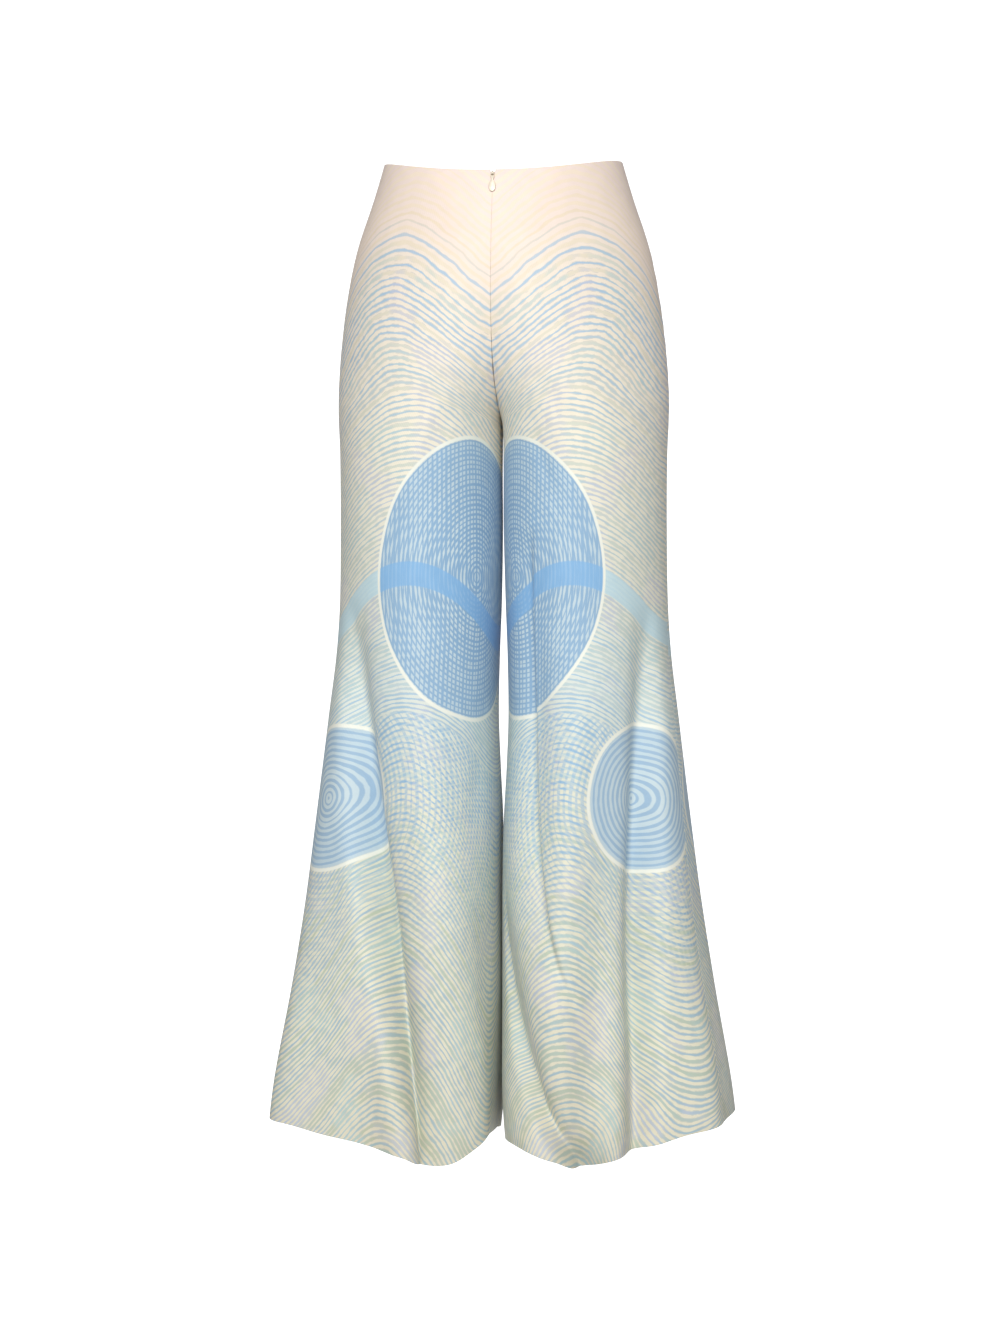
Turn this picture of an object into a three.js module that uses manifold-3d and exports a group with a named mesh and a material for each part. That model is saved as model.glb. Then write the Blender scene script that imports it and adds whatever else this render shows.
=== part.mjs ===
// Flared trousers, high waisted and very wide at the hem, filled out as if they were worn.
// Four panels, a back and a front for each leg, meet at the side seams, the inseams, the centre
// back and the centre front. A hidden zip closes the centre back, and its pull tab hangs outside.
// Millimetres, +Z up. The origin is the middle of the waist opening, +X is the wearer's right
// and +Y is the front. A "drop" is a depth below the origin. A "turn" is an angle round one leg,
// in degrees: 0 at the side, -90 at the back, 90 at the front and 180 at the inside of the leg.
import * as THREE from 'three';
import { mergeVertices } from 'three/addons/utils/BufferGeometryUtils.js';
import Module from 'manifold-3d';

// Cloth
const CLOTH_WALL = 1.2;
const SEAM_GAP = 0.3;
const COLUMNS = 24;
const SEAT_ROWS = 12;
const LEG_ROWS = 17;

// Cut
const WAIST_DIP = { back: 19, front: 9 };
const CROTCH_DROP = 287;
const CROTCH_ROW_AT_SIDE = 262;

// Half a section at each depth. Above the crotch the two halves meet on the middle plane, and
// below it each is a closed leg. Outer and inner are its reach from that plane, crest is where
// it is deepest, and back and front are those depths.
const SECTIONS = [
  { drop: 0, outer: 131, inner: -131, crest: 0, back: 97, front: 97 },
  { drop: 40, outer: 143, inner: -129, crest: 4, back: 107, front: 102 },
  { drop: 95, outer: 161, inner: -118, crest: 15, back: 120, front: 107 },
  { drop: 150, outer: 172, inner: -88, crest: 32, back: 128, front: 110 },
  { drop: 205, outer: 179, inner: -46, crest: 52, back: 130, front: 110 },
  { drop: 245, outer: 182, inner: -17, crest: 67, back: 129, front: 109 },
  { drop: 270, outer: 182.5, inner: -5, crest: 76, back: 127.5, front: 108 },
  { drop: 287, outer: 182, inner: 0.15, crest: 80, back: 126, front: 107 },
  { drop: 320, outer: 180.5, inner: 1.2, crest: 83, back: 123, front: 105.5 },
  { drop: 400, outer: 179.5, inner: 1.4, crest: 84, back: 118, front: 104 },
  { drop: 480, outer: 180.5, inner: 3.0, crest: 84, back: 117, front: 106 },
  { drop: 540, outer: 184.5, inner: 5.0, crest: 85, back: 120, front: 110 },
  { drop: 605, outer: 192.5, inner: 5.8, crest: 86, back: 124, front: 115 },
  { drop: 660, outer: 199, inner: 4.0, crest: 86, back: 129, front: 120 },
  { drop: 720, outer: 206, inner: 1.4, crest: 86, back: 134, front: 125 },
  { drop: 810, outer: 217, inner: 1.2, crest: 86, back: 142, front: 132 },
  { drop: 900, outer: 231, inner: 1.2, crest: 87, back: 151, front: 139 },
  { drop: 980, outer: 246, inner: 1.2, crest: 88, back: 160, front: 145 },
  { drop: 1080, outer: 264, inner: 1.2, crest: 90, back: 170, front: 152 },
];

// How far the side seams swing towards the back (negative) or the front, at each depth.
const SIDE_SEAMS = [
  { drop: 0, left: 0, right: 0 },
  { drop: 420, left: 1, right: -2 },
  { drop: 590, left: 4, right: -13 },
  { drop: 800, left: 6, right: -18 },
  { drop: 1080, left: 8, right: -21 },
];

// Depth of the hem round each leg.
const HEMS = [
  { turn: -180, left: 1055, right: 1069 },
  { turn: -165, left: 1056, right: 1065 },
  { turn: -150, left: 1057, right: 1060 },
  { turn: -140, left: 1067, right: 1060 },
  { turn: -130, left: 1083, right: 1061 },
  { turn: -115, left: 1084, right: 1066 },
  { turn: -100, left: 1081, right: 1075 },
  { turn: -90, left: 1074, right: 1084 },
  { turn: -80, left: 1065, right: 1085 },
  { turn: -65, left: 1053, right: 1067 },
  { turn: -50, left: 1046, right: 1049 },
  { turn: -35, left: 1040, right: 1043 },
  { turn: 0, left: 1038, right: 1035 },
  { turn: 40, left: 1045, right: 1046 },
  { turn: 90, left: 1066, right: 1064 },
  { turn: 135, left: 1070, right: 1068 },
  { turn: 180, left: 1055, right: 1069 },
];

// Folds. Each runs down one leg between two depths, past three turns at its top, middle and
// bottom. Height is how far it stands out, or in if negative. Sideward and inward are its half
// widths towards the side seam and the inseam. A fold that fades grows and dies away again, and
// the others grow down to the hem.
const FOLDS = [
  { leg: 'left', from: 430, to: 1080, top: -40, middle: -79, bottom: -114,
    height: -32, sideward: 44, inward: 46, fades: false },
  { leg: 'left', from: 560, to: 1080, top: -104, middle: -120, bottom: -143,
    height: 10, sideward: 34, inward: 34, fades: false },
  { leg: 'left', from: 640, to: 1080, top: -18, middle: -24, bottom: -36,
    height: 9, sideward: 40, inward: 40, fades: false },
  { leg: 'left', from: 420, to: 1080, top: 46, middle: 60, bottom: 68,
    height: -27, sideward: 40, inward: 36, fades: false },
  { leg: 'left', from: 520, to: 1080, top: 112, middle: 116, bottom: 122,
    height: -21, sideward: 34, inward: 30, fades: false },
  { leg: 'right', from: 420, to: 1080, top: -35, middle: -65, bottom: -82,
    height: -26, sideward: 36, inward: 42, fades: false },
  { leg: 'right', from: 400, to: 900, top: -121, middle: -119, bottom: -106,
    height: -11, sideward: 26, inward: 26, fades: true },
  { leg: 'right', from: 800, to: 1080, top: -146, middle: -132, bottom: -86,
    height: -24, sideward: 40, inward: 32, fades: false },
  { leg: 'right', from: 640, to: 1080, top: -92, middle: -98, bottom: -104,
    height: 8, sideward: 36, inward: 36, fades: false },
  { leg: 'right', from: 440, to: 1080, top: 40, middle: 50, bottom: 58,
    height: -24, sideward: 38, inward: 42, fades: false },
  { leg: 'right', from: 500, to: 1080, top: 100, middle: 108, bottom: 112,
    height: -25, sideward: 34, inward: 34, fades: false },
];

// Zip
const ZIP_SPLAY = 3.2;
const ZIP_SPLAY_DROP = 11;
const TAPE_WALL = 1;
const TAPE_ROWS = 6;
const TAPE_COLUMNS = 1;
const SLIDER_DROP = 4.8;
const SLIDER_WIDTH = 1.6;
const SLIDER_EYE = 1;
const SLIDER_RING = 1.9;
const SHIELD = { width: 6, top: 3, bottom: -5.5, thickness: 2, corner: 1.4 };
const PULL = {
  thickness: 1, bar: 0.6, eyeHalf: 1.2, eyeEnd: -2.9, neckHalf: 2, neckEnd: -3.8,
  stemHalf: 1.1, stemEnd: -7.5, bulbHalf: 3.7, bulbMiddle: -15, tip: -20, end: -21,
};

const HALF_GAP = SEAM_GAP / 2;
const HALF_TURN = 180;
const GROWTH = 1.25;
const STEP = 0.5;
const ARC_STEPS = 12;
const SIDES = { left: -1, right: 1 };
const FACINGS = { back: -1, front: 1 };

const MATERIALS = {
  satin: new THREE.MeshStandardMaterial({ color: 0xc3d3d6, roughness: 0.5, metalness: 0 }),
  tape: new THREE.MeshStandardMaterial({ color: 0xf3e9dc, roughness: 0.85, metalness: 0 }),
  zip: new THREE.MeshStandardMaterial({ color: 0xefe6d8, roughness: 0.4, metalness: 0.3 }),
};

// A value from a table, smooth from row to row.
function lookUp(rows, key, column, at) {
  const last = rows.length - 1;
  const above = rows.findIndex((row) => row[key] > at);
  const i = above < 0 ? last - 1 : Math.max(above - 1, 0);
  const slope = (k) => {
    const a = rows[Math.max(k - 1, 0)];
    const b = rows[Math.min(k + 1, last)];
    return (b[column] - a[column]) / (b[key] - a[key]);
  };
  const span = rows[i + 1][key] - rows[i][key];
  const t = (at - rows[i][key]) / span;
  const start = rows[i][column];
  const rise = rows[i + 1][column] - start;
  const bend = slope(i) * span * t * (1 - t) * (1 - t) - slope(i + 1) * span * t * t * (1 - t);
  return start + rise * t * t * (3 - 2 * t) + bend;
}

// A curve through three values, at 0, one half and 1.
function throughThree(a, b, c, t) {
  return a * (1 - t) * (1 - 2 * t) + 4 * b * t * (1 - t) + c * t * (2 * t - 1);
}

// A leg's section at a depth, before its folds.
function sectionAt(drop) {
  const at = (column) => lookUp(SECTIONS, 'drop', column, drop);
  const [outer, inner, crest] = [at('outer'), at('inner'), at('crest')];
  return {
    crest,
    halfWidth: (outer - inner) / 2,
    skew: (outer + inner) / 2 - crest,
    back: at('back'),
    front: at('front'),
  };
}

// A section's point at a turn: an egg shape, fuller towards the side.
function sectionPoint(section, turn) {
  const angle = THREE.MathUtils.degToRad(turn);
  const across = Math.cos(angle);
  const along = Math.sin(angle);
  const x = section.crest + section.halfWidth * across + section.skew * across * across;
  return new THREE.Vector2(x, along * (along < 0 ? section.back : section.front));
}

// How far a fold moves the cloth out at a depth and a turn.
function foldHeight(fold, section, drop, turn) {
  const t = (drop - fold.from) / (fold.to - fold.from);
  if (t <= 0 || (fold.fades && t >= 1)) return 0;
  const path = throughThree(fold.top, fold.middle, fold.bottom, t);
  const across = sectionPoint(section, turn).distanceTo(sectionPoint(section, path));
  const width = Math.abs(turn) > Math.abs(path) ? fold.inward : fold.sideward;
  const growth = fold.fades ? Math.sin(Math.PI * t) : Math.pow(t, GROWTH);
  return fold.height * growth * Math.exp(-((across / width) ** 2));
}

// A point of the right leg's form, or of the left leg's form turned over to the right.
function formPoint(leg, drop, turn) {
  const section = sectionAt(drop);
  const point = sectionPoint(section, turn);
  const round = sectionPoint(section, turn + STEP).sub(sectionPoint(section, turn - STEP));
  const outward = new THREE.Vector2(round.y, -round.x).normalize();
  const side = Math.sign(turn);
  const folds = FOLDS.filter((fold) => fold.leg === leg && Math.sign(fold.middle) === side);
  const height = folds.reduce((sum, fold) => sum + foldHeight(fold, section, drop, turn), 0);
  point.addScaledVector(outward, height);
  return new THREE.Vector3(point.x, point.y, -drop);
}

// The form's outward direction.
function formNormal(leg, drop, turn) {
  const down = formPoint(leg, drop + STEP, turn).sub(formPoint(leg, drop - STEP, turn));
  const round = formPoint(leg, drop, turn + STEP).sub(formPoint(leg, drop, turn - STEP));
  return down.cross(round).normalize();
}

// The turn at which the form reaches the middle plane, or stops short of it beside the zip.
function middleTurn(facing, drop) {
  const open = Math.max(0, 1 - (drop - WAIST_DIP.back) / ZIP_SPLAY_DROP);
  const short = HALF_GAP + (facing === 'back' ? ZIP_SPLAY * open : 0);
  const { crest, halfWidth, skew } = sectionAt(drop);
  const reach = crest - short;
  const root = Math.sqrt(Math.max(0, halfWidth ** 2 - 4 * skew * reach));
  const cosine = Math.max(-1, (-2 * reach) / (halfWidth + root));
  return FACINGS[facing] * THREE.MathUtils.radToDeg(Math.acos(cosine));
}

// The rows of a panel: in the seat first, then in the leg. The first row is at the waist, and
// the second one ends the splay beside the zip.
function panelRows() {
  const seatDepth = CROTCH_DROP - WAIST_DIP.back;
  const splayEnd = Math.asin(ZIP_SPLAY_DROP / seatDepth) / (Math.PI / 2);
  const seat = Array.from({ length: SEAT_ROWS }, (_, i) => (i + 1) / SEAT_ROWS);
  const leg = Array.from({ length: LEG_ROWS }, (_, i) => (i + 1) / LEG_ROWS);
  return [
    { part: 'seat', share: 0 },
    { part: 'seat', share: splayEnd },
    ...seat.map((share) => ({ part: 'seat', share })),
    ...leg.map((share) => ({ part: 'leg', share })),
  ];
}

// The depth and the turn at a place on a panel. Share is how far down it is, in its part, and
// across runs from 0 at the panel's inner edge to 1 at the side seam.
function panelPlace(leg, facing, { part, share }, across) {
  const seatShare = part === 'seat' ? share : 1;
  const legShare = part === 'leg' ? share : 0;
  const level = Math.cos(across * Math.PI / 2) ** 2;
  const seatDepth = CROTCH_DROP - WAIST_DIP[facing];
  const innerDrop = WAIST_DIP[facing] + seatDepth * Math.sin(seatShare * Math.PI / 2);
  const sideDrop = CROTCH_ROW_AT_SIDE * seatShare;
  const seatDrop = sideDrop + (innerDrop - sideDrop) * level;
  const innerTurn = part === 'leg' ? FACINGS[facing] * HALF_TURN : middleTurn(facing, innerDrop);
  const lowest = lookUp(HEMS, 'turn', leg, 0);
  const seamDrop = sideDrop + (lowest - sideDrop) * legShare;
  const sideTurn = lookUp(SIDE_SEAMS, 'drop', leg, seamDrop);
  const turn = innerTurn + (sideTurn - innerTurn) * across;
  const drop = seatDrop + (lookUp(HEMS, 'turn', leg, turn) - seatDrop) * legShare;
  return { drop, turn };
}

// A point on a panel, sunk below its outer face. Its edges on the side seam and on the inseam
// are drawn back to leave room for the seam.
function panelPoint(leg, facing, row, across, sunk) {
  const { drop, turn } = panelPlace(leg, facing, row, across);
  const point = formPoint(leg, drop, turn);
  const normal = formNormal(leg, drop, turn);
  const isInseam = across === 0 && (row.part === 'leg' || row.share === 1);
  if (isInseam || across === 1) {
    const round = formPoint(leg, drop, turn + STEP).sub(formPoint(leg, drop, turn - STEP));
    const towards = FACINGS[facing] * (isInseam ? -1 : 1);
    point.addScaledVector(round.normalize(), towards * HALF_GAP);
  }
  point.addScaledVector(normal, -sunk);
  point.x *= SIDES[leg];
  return point;
}

// A closed wall of cloth. Place gives its point in a row and a column, sunk below its face.
function wallGeometry(rowCount, columnCount, wall, place, isReversed) {
  const positions = [];
  const triangles = [];
  for (const sunk of [0, wall]) {
    for (let r = 0; r <= rowCount; r += 1) {
      for (let c = 0; c <= columnCount; c += 1) positions.push(...place(r, c, sunk));
    }
  }
  const stride = columnCount + 1;
  const innerStart = (rowCount + 1) * stride;
  const index = (r, c) => r * stride + c;
  const addQuad = (a, b, c, d) => {
    triangles.push(...(isReversed ? [a, c, b, a, d, c] : [a, b, c, a, c, d]));
  };
  for (let r = 0; r < rowCount; r += 1) {
    for (let c = 0; c < columnCount; c += 1) {
      const quad = [index(r, c), index(r + 1, c), index(r + 1, c + 1), index(r, c + 1)];
      addQuad(...quad);
      const behind = quad.map((corner) => corner + innerStart);
      addQuad(behind[0], behind[3], behind[2], behind[1]);
    }
  }
  const border = [];
  for (let c = 0; c < columnCount; c += 1) border.push(index(0, c));
  for (let r = 0; r < rowCount; r += 1) border.push(index(r, columnCount));
  for (let c = columnCount; c > 0; c -= 1) border.push(index(rowCount, c));
  for (let r = rowCount; r > 0; r -= 1) border.push(index(r, 0));
  border.forEach((here, i) => {
    const next = border[(i + 1) % border.length];
    addQuad(here, next, next + innerStart, here + innerStart);
  });
  const geometry = new THREE.BufferGeometry();
  geometry.setAttribute('position', new THREE.Float32BufferAttribute(positions, 3));
  geometry.setIndex(triangles);
  geometry.computeVertexNormals();
  return geometry;
}

function makePanel(leg, facing) {
  const rows = panelRows();
  const place = (r, c, sunk) => panelPoint(leg, facing, rows[r], c / COLUMNS, sunk);
  const isReversed = SIDES[leg] !== -FACINGS[facing];
  const geometry = wallGeometry(rows.length - 1, COLUMNS, CLOTH_WALL, place, isReversed);
  const panel = new THREE.Mesh(geometry, MATERIALS.satin);
  panel.name = `${facing}_${leg}`;
  return panel;
}

// One half of the zip's tape, on the inside of a back panel beside the centre seam.
function makeTape(leg) {
  const rows = panelRows();
  const seat = CLOTH_WALL + SEAM_GAP;
  const place = (r, c, sunk) => panelPoint(leg, 'back', rows[r], c / COLUMNS, seat + sunk);
  const isReversed = SIDES[leg] !== -FACINGS.back;
  const geometry = wallGeometry(TAPE_ROWS, TAPE_COLUMNS, TAPE_WALL, place, isReversed);
  const tape = new THREE.Mesh(geometry, MATERIALS.tape);
  tape.name = `zip_tape_${leg}`;
  return tape;
}

// Two closed meshes joined into one.
async function joined(...geometries) {
  const wasm = await Module();
  wasm.setup();
  const solids = geometries.map((geometry) => {
    const bare = geometry.clone();
    bare.deleteAttribute('normal');
    bare.deleteAttribute('uv');
    const merged = mergeVertices(bare);
    return new wasm.Manifold(new wasm.Mesh({
      numProp: 3,
      vertProperties: new Float32Array(merged.attributes.position.array),
      triVerts: new Uint32Array(merged.index.array),
    }));
  });
  const mesh = solids.reduce((sum, solid) => sum.add(solid)).getMesh();
  const geometry = new THREE.BufferGeometry();
  geometry.setAttribute('position', new THREE.Float32BufferAttribute(mesh.vertProperties, 3));
  geometry.setIndex(Array.from(mesh.triVerts));
  geometry.computeVertexNormals();
  return geometry;
}

// A flat shape of x and z, made thick along y about its middle.
function plateGeometry(shape, thickness, middle) {
  const geometry = new THREE.ExtrudeGeometry(shape, {
    depth: thickness, bevelEnabled: false, curveSegments: ARC_STEPS,
  });
  geometry.rotateX(Math.PI / 2);
  geometry.translate(0, middle + thickness / 2, 0);
  return geometry;
}

// The slider: a shield inside the tapes, and a neck through the splay that ends in an eye for
// the pull tab. Its own origin is on the outer face of the cloth, level with the eye.
async function makeSlider() {
  const { width, top, bottom, thickness, corner } = SHIELD;
  const half = width / 2;
  const outline = new THREE.Shape();
  outline.moveTo(-half, top - corner);
  outline.lineTo(-half, bottom + half);
  outline.absarc(0, bottom + half, half, Math.PI, 2 * Math.PI, false);
  outline.lineTo(half, top - corner);
  outline.absarc(half - corner, top - corner, corner, 0, Math.PI / 2, false);
  outline.lineTo(-half + corner, top);
  outline.absarc(-half + corner, top - corner, corner, Math.PI / 2, Math.PI, false);
  const shieldFace = CLOTH_WALL + SEAM_GAP + TAPE_WALL + SEAM_GAP;
  const shield = plateGeometry(outline, thickness, shieldFace + thickness / 2);

  const neck = new THREE.Shape();
  const neckEnd = shieldFace + thickness / 2;
  neck.moveTo(neckEnd, SLIDER_RING);
  neck.lineTo(-SLIDER_RING, SLIDER_RING);
  neck.absarc(-SLIDER_RING, 0, SLIDER_RING, Math.PI / 2, 1.5 * Math.PI, false);
  neck.lineTo(neckEnd, -SLIDER_RING);
  neck.holes.push(new THREE.Path().absarc(-SLIDER_RING, 0, SLIDER_EYE, 0, 2 * Math.PI, true));
  const neckGeometry = new THREE.ExtrudeGeometry(neck, {
    depth: SLIDER_WIDTH, bevelEnabled: false, curveSegments: ARC_STEPS,
  });
  neckGeometry.translate(0, 0, -SLIDER_WIDTH / 2);
  neckGeometry.rotateX(Math.PI / 2);
  neckGeometry.rotateZ(Math.PI / 2);

  const slider = new THREE.Mesh(await joined(shield, neckGeometry), MATERIALS.zip);
  slider.name = 'zip_slider';
  return slider;
}

// The teardrop pull tab. Its own origin is the bar that turns in the slider's eye.
function makePull() {
  const p = PULL;
  const outline = new THREE.Shape();
  outline.moveTo(-p.neckHalf, p.bar);
  outline.lineTo(-p.neckHalf, p.neckEnd);
  outline.lineTo(-p.stemHalf, p.stemEnd);
  outline.quadraticCurveTo(-p.bulbHalf, (p.stemEnd + p.bulbMiddle) / 2, -p.bulbHalf, p.bulbMiddle);
  outline.bezierCurveTo(-p.bulbHalf, p.tip, -p.stemHalf, p.end, 0, p.end);
  outline.bezierCurveTo(p.stemHalf, p.end, p.bulbHalf, p.tip, p.bulbHalf, p.bulbMiddle);
  outline.quadraticCurveTo(p.bulbHalf, (p.stemEnd + p.bulbMiddle) / 2, p.stemHalf, p.stemEnd);
  outline.lineTo(p.neckHalf, p.neckEnd);
  outline.lineTo(p.neckHalf, p.bar);
  const eye = new THREE.Path();
  eye.moveTo(-p.eyeHalf, -p.bar);
  eye.lineTo(p.eyeHalf, -p.bar);
  eye.lineTo(p.eyeHalf, p.eyeEnd);
  eye.lineTo(-p.eyeHalf, p.eyeEnd);
  outline.holes.push(eye);
  const pull = new THREE.Mesh(plateGeometry(outline, p.thickness, 0), MATERIALS.zip);
  pull.name = 'zip_pull';
  pull.position.y = -SLIDER_RING;
  return pull;
}

// The zip's hard parts lean with the cloth at the centre back.
async function makeZipHardware() {
  const drop = WAIST_DIP.back + SLIDER_DROP;
  const slope = lookUp(SECTIONS, 'drop', 'back', drop + STEP)
    - lookUp(SECTIONS, 'drop', 'back', drop - STEP);
  const hardware = new THREE.Group();
  hardware.position.set(0, -lookUp(SECTIONS, 'drop', 'back', drop), -drop);
  hardware.rotation.x = -Math.atan(slope / (2 * STEP));
  hardware.add(await makeSlider(), makePull());
  return hardware;
}

const trousers = new THREE.Group();
for (const leg of Object.keys(SIDES)) {
  for (const facing of Object.keys(FACINGS)) trousers.add(makePanel(leg, facing));
  trousers.add(makeTape(leg));
}
trousers.add(await makeZipHardware());

export default trousers;
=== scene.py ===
"""Flared trousers in printed satin, filled out as if they were worn.

Lengths in the tables are millimetres, as a pattern cutter gives them, and MM turns them into
metres. A "drop" is a depth below the waist. A "turn" is an angle round one leg, in degrees: 0 at
the side, -90 at the back, 90 at the front and 180 at the inside of the leg.
"""
import math

import bmesh
import bpy
import numpy as np
from bpy.props import FloatProperty, FloatVectorProperty, PointerProperty
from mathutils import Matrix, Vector


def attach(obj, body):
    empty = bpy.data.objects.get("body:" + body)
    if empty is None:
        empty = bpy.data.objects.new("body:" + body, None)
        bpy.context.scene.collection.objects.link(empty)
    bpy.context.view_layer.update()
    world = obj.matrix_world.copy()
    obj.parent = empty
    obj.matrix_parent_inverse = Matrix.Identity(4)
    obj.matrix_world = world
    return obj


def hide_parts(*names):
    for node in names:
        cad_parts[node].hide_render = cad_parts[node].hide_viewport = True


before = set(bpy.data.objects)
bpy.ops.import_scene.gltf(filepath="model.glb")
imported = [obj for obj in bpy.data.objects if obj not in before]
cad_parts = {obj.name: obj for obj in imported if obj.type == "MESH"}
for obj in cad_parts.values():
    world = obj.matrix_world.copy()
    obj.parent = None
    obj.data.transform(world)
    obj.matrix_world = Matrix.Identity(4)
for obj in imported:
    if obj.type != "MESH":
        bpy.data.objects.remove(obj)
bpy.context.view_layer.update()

bl_info = {
    "name": "Flared Trousers",
    "version": (1, 0, 0),
    "blender": (4, 5, 0),
    "location": "3D View > Sidebar > Trousers",
    "description": "Makes a pair of flared satin trousers with a hidden zip",
    "category": "Add Mesh",
}

MM = 0.001
GARMENT = "garment"
PULL_TAB = "pull_tab"
SIDES = {"left": -1, "right": 1}
FACINGS = {"back": -1, "front": 1}

# The cut, as in the solid model, but up to 13 mm longer at the back of the hems
WAIST_DIP = {"back": 19.0, "front": 9.0}
CROTCH_DROP = 287.0
CROTCH_ROW_AT_SIDE = 262.0
ZIP_SPLAY = 3.2
ZIP_SPLAY_DROP = 11.0
HALF_GAP = 0.02
GROWTH = 1.25
# A fold that is this many times steeper on one side comes to a slightly rounded edge.
CRISP_RATIO = 2.2
ROUNDING = 0.28
# A small turn for measuring slopes, and about how much cloth one degree of turn is
STEP = 0.5
MM_PER_TURN = 1.9

# One row for each level of a leg: where it reaches, and its depth behind and in front
SECTION_COLUMNS = ("drop", "outer", "inner", "crest", "back", "front")
SECTIONS = np.array([
    (0, 131, -131, 0, 97, 97),
    (40, 143, -129, 4, 107, 102),
    (95, 161, -118, 15, 120, 107),
    (150, 172, -88, 32, 128, 110),
    (205, 179, -46, 52, 130, 110),
    (245, 182, -17, 67, 129, 109),
    (270, 182.5, -5, 76, 127.5, 108),
    (287, 182, 0.15, 80, 126, 107),
    (320, 180.5, 1.2, 83, 123, 105.5),
    (400, 179.5, 1.4, 84, 118, 104),
    (480, 180.5, 3.0, 84, 117, 106),
    (540, 184.5, 5.0, 85, 120, 110),
    (605, 192.5, 5.8, 86, 124, 115),
    (660, 199, 4.0, 86, 129, 120),
    (720, 206, 1.4, 86, 134, 125),
    (810, 217, 1.2, 86, 142, 132),
    (900, 231, 1.2, 87, 151, 139),
    (980, 246, 1.2, 88, 160, 145),
    (1080, 264, 1.2, 90, 170, 152),
])

# The turn of each leg's side seam
SEAM_COLUMNS = ("drop", "left", "right")
SIDE_SEAMS = np.array([
    (0, 0, 0), (420, 1, -2), (590, 4, -13), (800, 6, -18), (1080, 8, -21),
])

# The drop of each leg's hem, all round
HEM_COLUMNS = ("turn", "left", "right")
HEMS = np.array([
    (-180, 1055, 1069), (-165, 1056, 1065), (-150, 1057, 1060),
    (-140, 1067, 1060), (-130, 1083, 1061), (-115, 1084, 1066),
    (-100, 1081, 1075), (-90, 1074, 1084), (-80, 1069, 1085),
    (-65, 1061, 1073), (-50, 1053, 1062), (-35, 1043, 1049),
    (0, 1038, 1035), (40, 1045, 1046), (90, 1066, 1064),
    (135, 1070, 1068), (180, 1055, 1069),
])

# The solid model's folds, from one drop to another: their turns on the way, their height, their
# widths on both sides, and 1 for those that fade towards both ends
FOLD_COLUMNS = ("start", "end", "top", "middle", "bottom", "height", "sideward", "inward", "fades")
FOLDS = {
    "left": np.array([
        (430, 1080, -40, -79, -114, -32, 44, 46, 0),
        (560, 1080, -104, -120, -143, 10, 34, 34, 0),
        (640, 1080, -18, -24, -36, 9, 40, 40, 0),
        (420, 1080, 46, 60, 68, -27, 40, 36, 0),
        (520, 1080, 112, 116, 122, -21, 34, 30, 0),
    ]),
    "right": np.array([
        (420, 1080, -35, -65, -82, -26, 36, 42, 0),
        (400, 900, -121, -119, -106, -11, 26, 26, 1),
        (800, 1080, -146, -132, -86, -24, 40, 32, 0),
        (640, 1080, -92, -98, -104, 8, 36, 36, 0),
        (440, 1080, 40, 50, 58, -24, 38, 42, 0),
        (500, 1080, 100, 108, 112, -25, 34, 34, 0),
    ]),
}

# What the looks add: deeper and narrower main folds, edges on some folds, and small ridges
ADDED_FOLDS = {
    "left": np.array([
        (480, 1200, -39, -70, -134, -42, 16, 24, 1),
        (560, 1080, -54, -62, -70, -26, 60, 44, 0),
        (520, 1080, -26, -28, -30, 11, 24, 30, 0),
        (600, 1300, -98, -106, -120, 5, 26, 30, 1),
        (520, 1085, 45, 60, 68, -12, 10, 34, 0),
        (620, 1085, 110, 116, 122, -10, 8, 26, 0),
    ]),
    "right": np.array([
        (480, 1240, -32, -48, -62, -34, 15, 22, 1),
        (400, 930, -121, -126, -84, -20, 6, 24, 1),
        (760, 1100, -150, -142, -78, -25, 28, 7, 0),
        (560, 1080, -46, -50, -54, -22, 56, 40, 0),
        (520, 1080, -25, -26, -28, 11, 24, 30, 0),
        (600, 1300, -88, -94, -100, 5, 24, 28, 1),
        (520, 1085, 40, 50, 58, -12, 10, 34, 0),
        (620, 1085, 100, 108, 112, -10, 8, 26, 0),
    ]),
}

# Soft creases, each a straight trough or ridge between two places, deepest half way
CREASE_COLUMNS = ("drop", "turn", "to_drop", "to_turn", "height", "width")
CREASES = {
    "left": np.array([
        (225, -108, 330, -72, -1.6, 13),
        (262, -118, 372, -92, -1.4, 11),
        (600, -150, 760, -128, -1.5, 15),
        (700, -60, 905, -52, 1.8, 18),
        (820, -30, 1010, -44, -2.2, 17),
        (905, -128, 1060, -140, -2.0, 12),
        (940, -72, 1075, -86, 2.0, 13),
        (250, 108, 345, 76, -1.5, 12),
        (640, 20, 860, 30, -2.4, 18),
        (880, 88, 1065, 92, 2.4, 15),
    ]),
    "right": np.array([
        (215, -112, 335, -70, -1.5, 14),
        (268, -122, 395, -96, -1.5, 11),
        (560, -84, 760, -92, 1.6, 18),
        (760, -45, 960, -40, -2.4, 18),
        (880, -58, 1060, -52, 1.8, 14),
        (930, -100, 1068, -118, 1.8, 12),
        (255, 104, 350, 74, -1.6, 12),
        (650, 74, 870, 80, 2.2, 17),
        (860, 24, 1050, 32, -2.4, 18),
        (900, 128, 1062, 138, -2.0, 13),
    ]),
}

# The lowest part of the cloth curls inwards a little.
HEM_CURL = 5.0
HEM_CURL_START = 985.0
HEM_CURL_LENGTH = 85.0
# Long slight waves all over the cloth
RIPPLE_HEIGHT = 2.4
RIPPLES = 14
RIPPLE_SEEDS = {"left": 41, "right": 43}
# Creases, ripples and added folds start below the waist, at a drop, and grow over a length.
CREASES_START = 30
CREASES_GROW_OVER = 120

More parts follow.
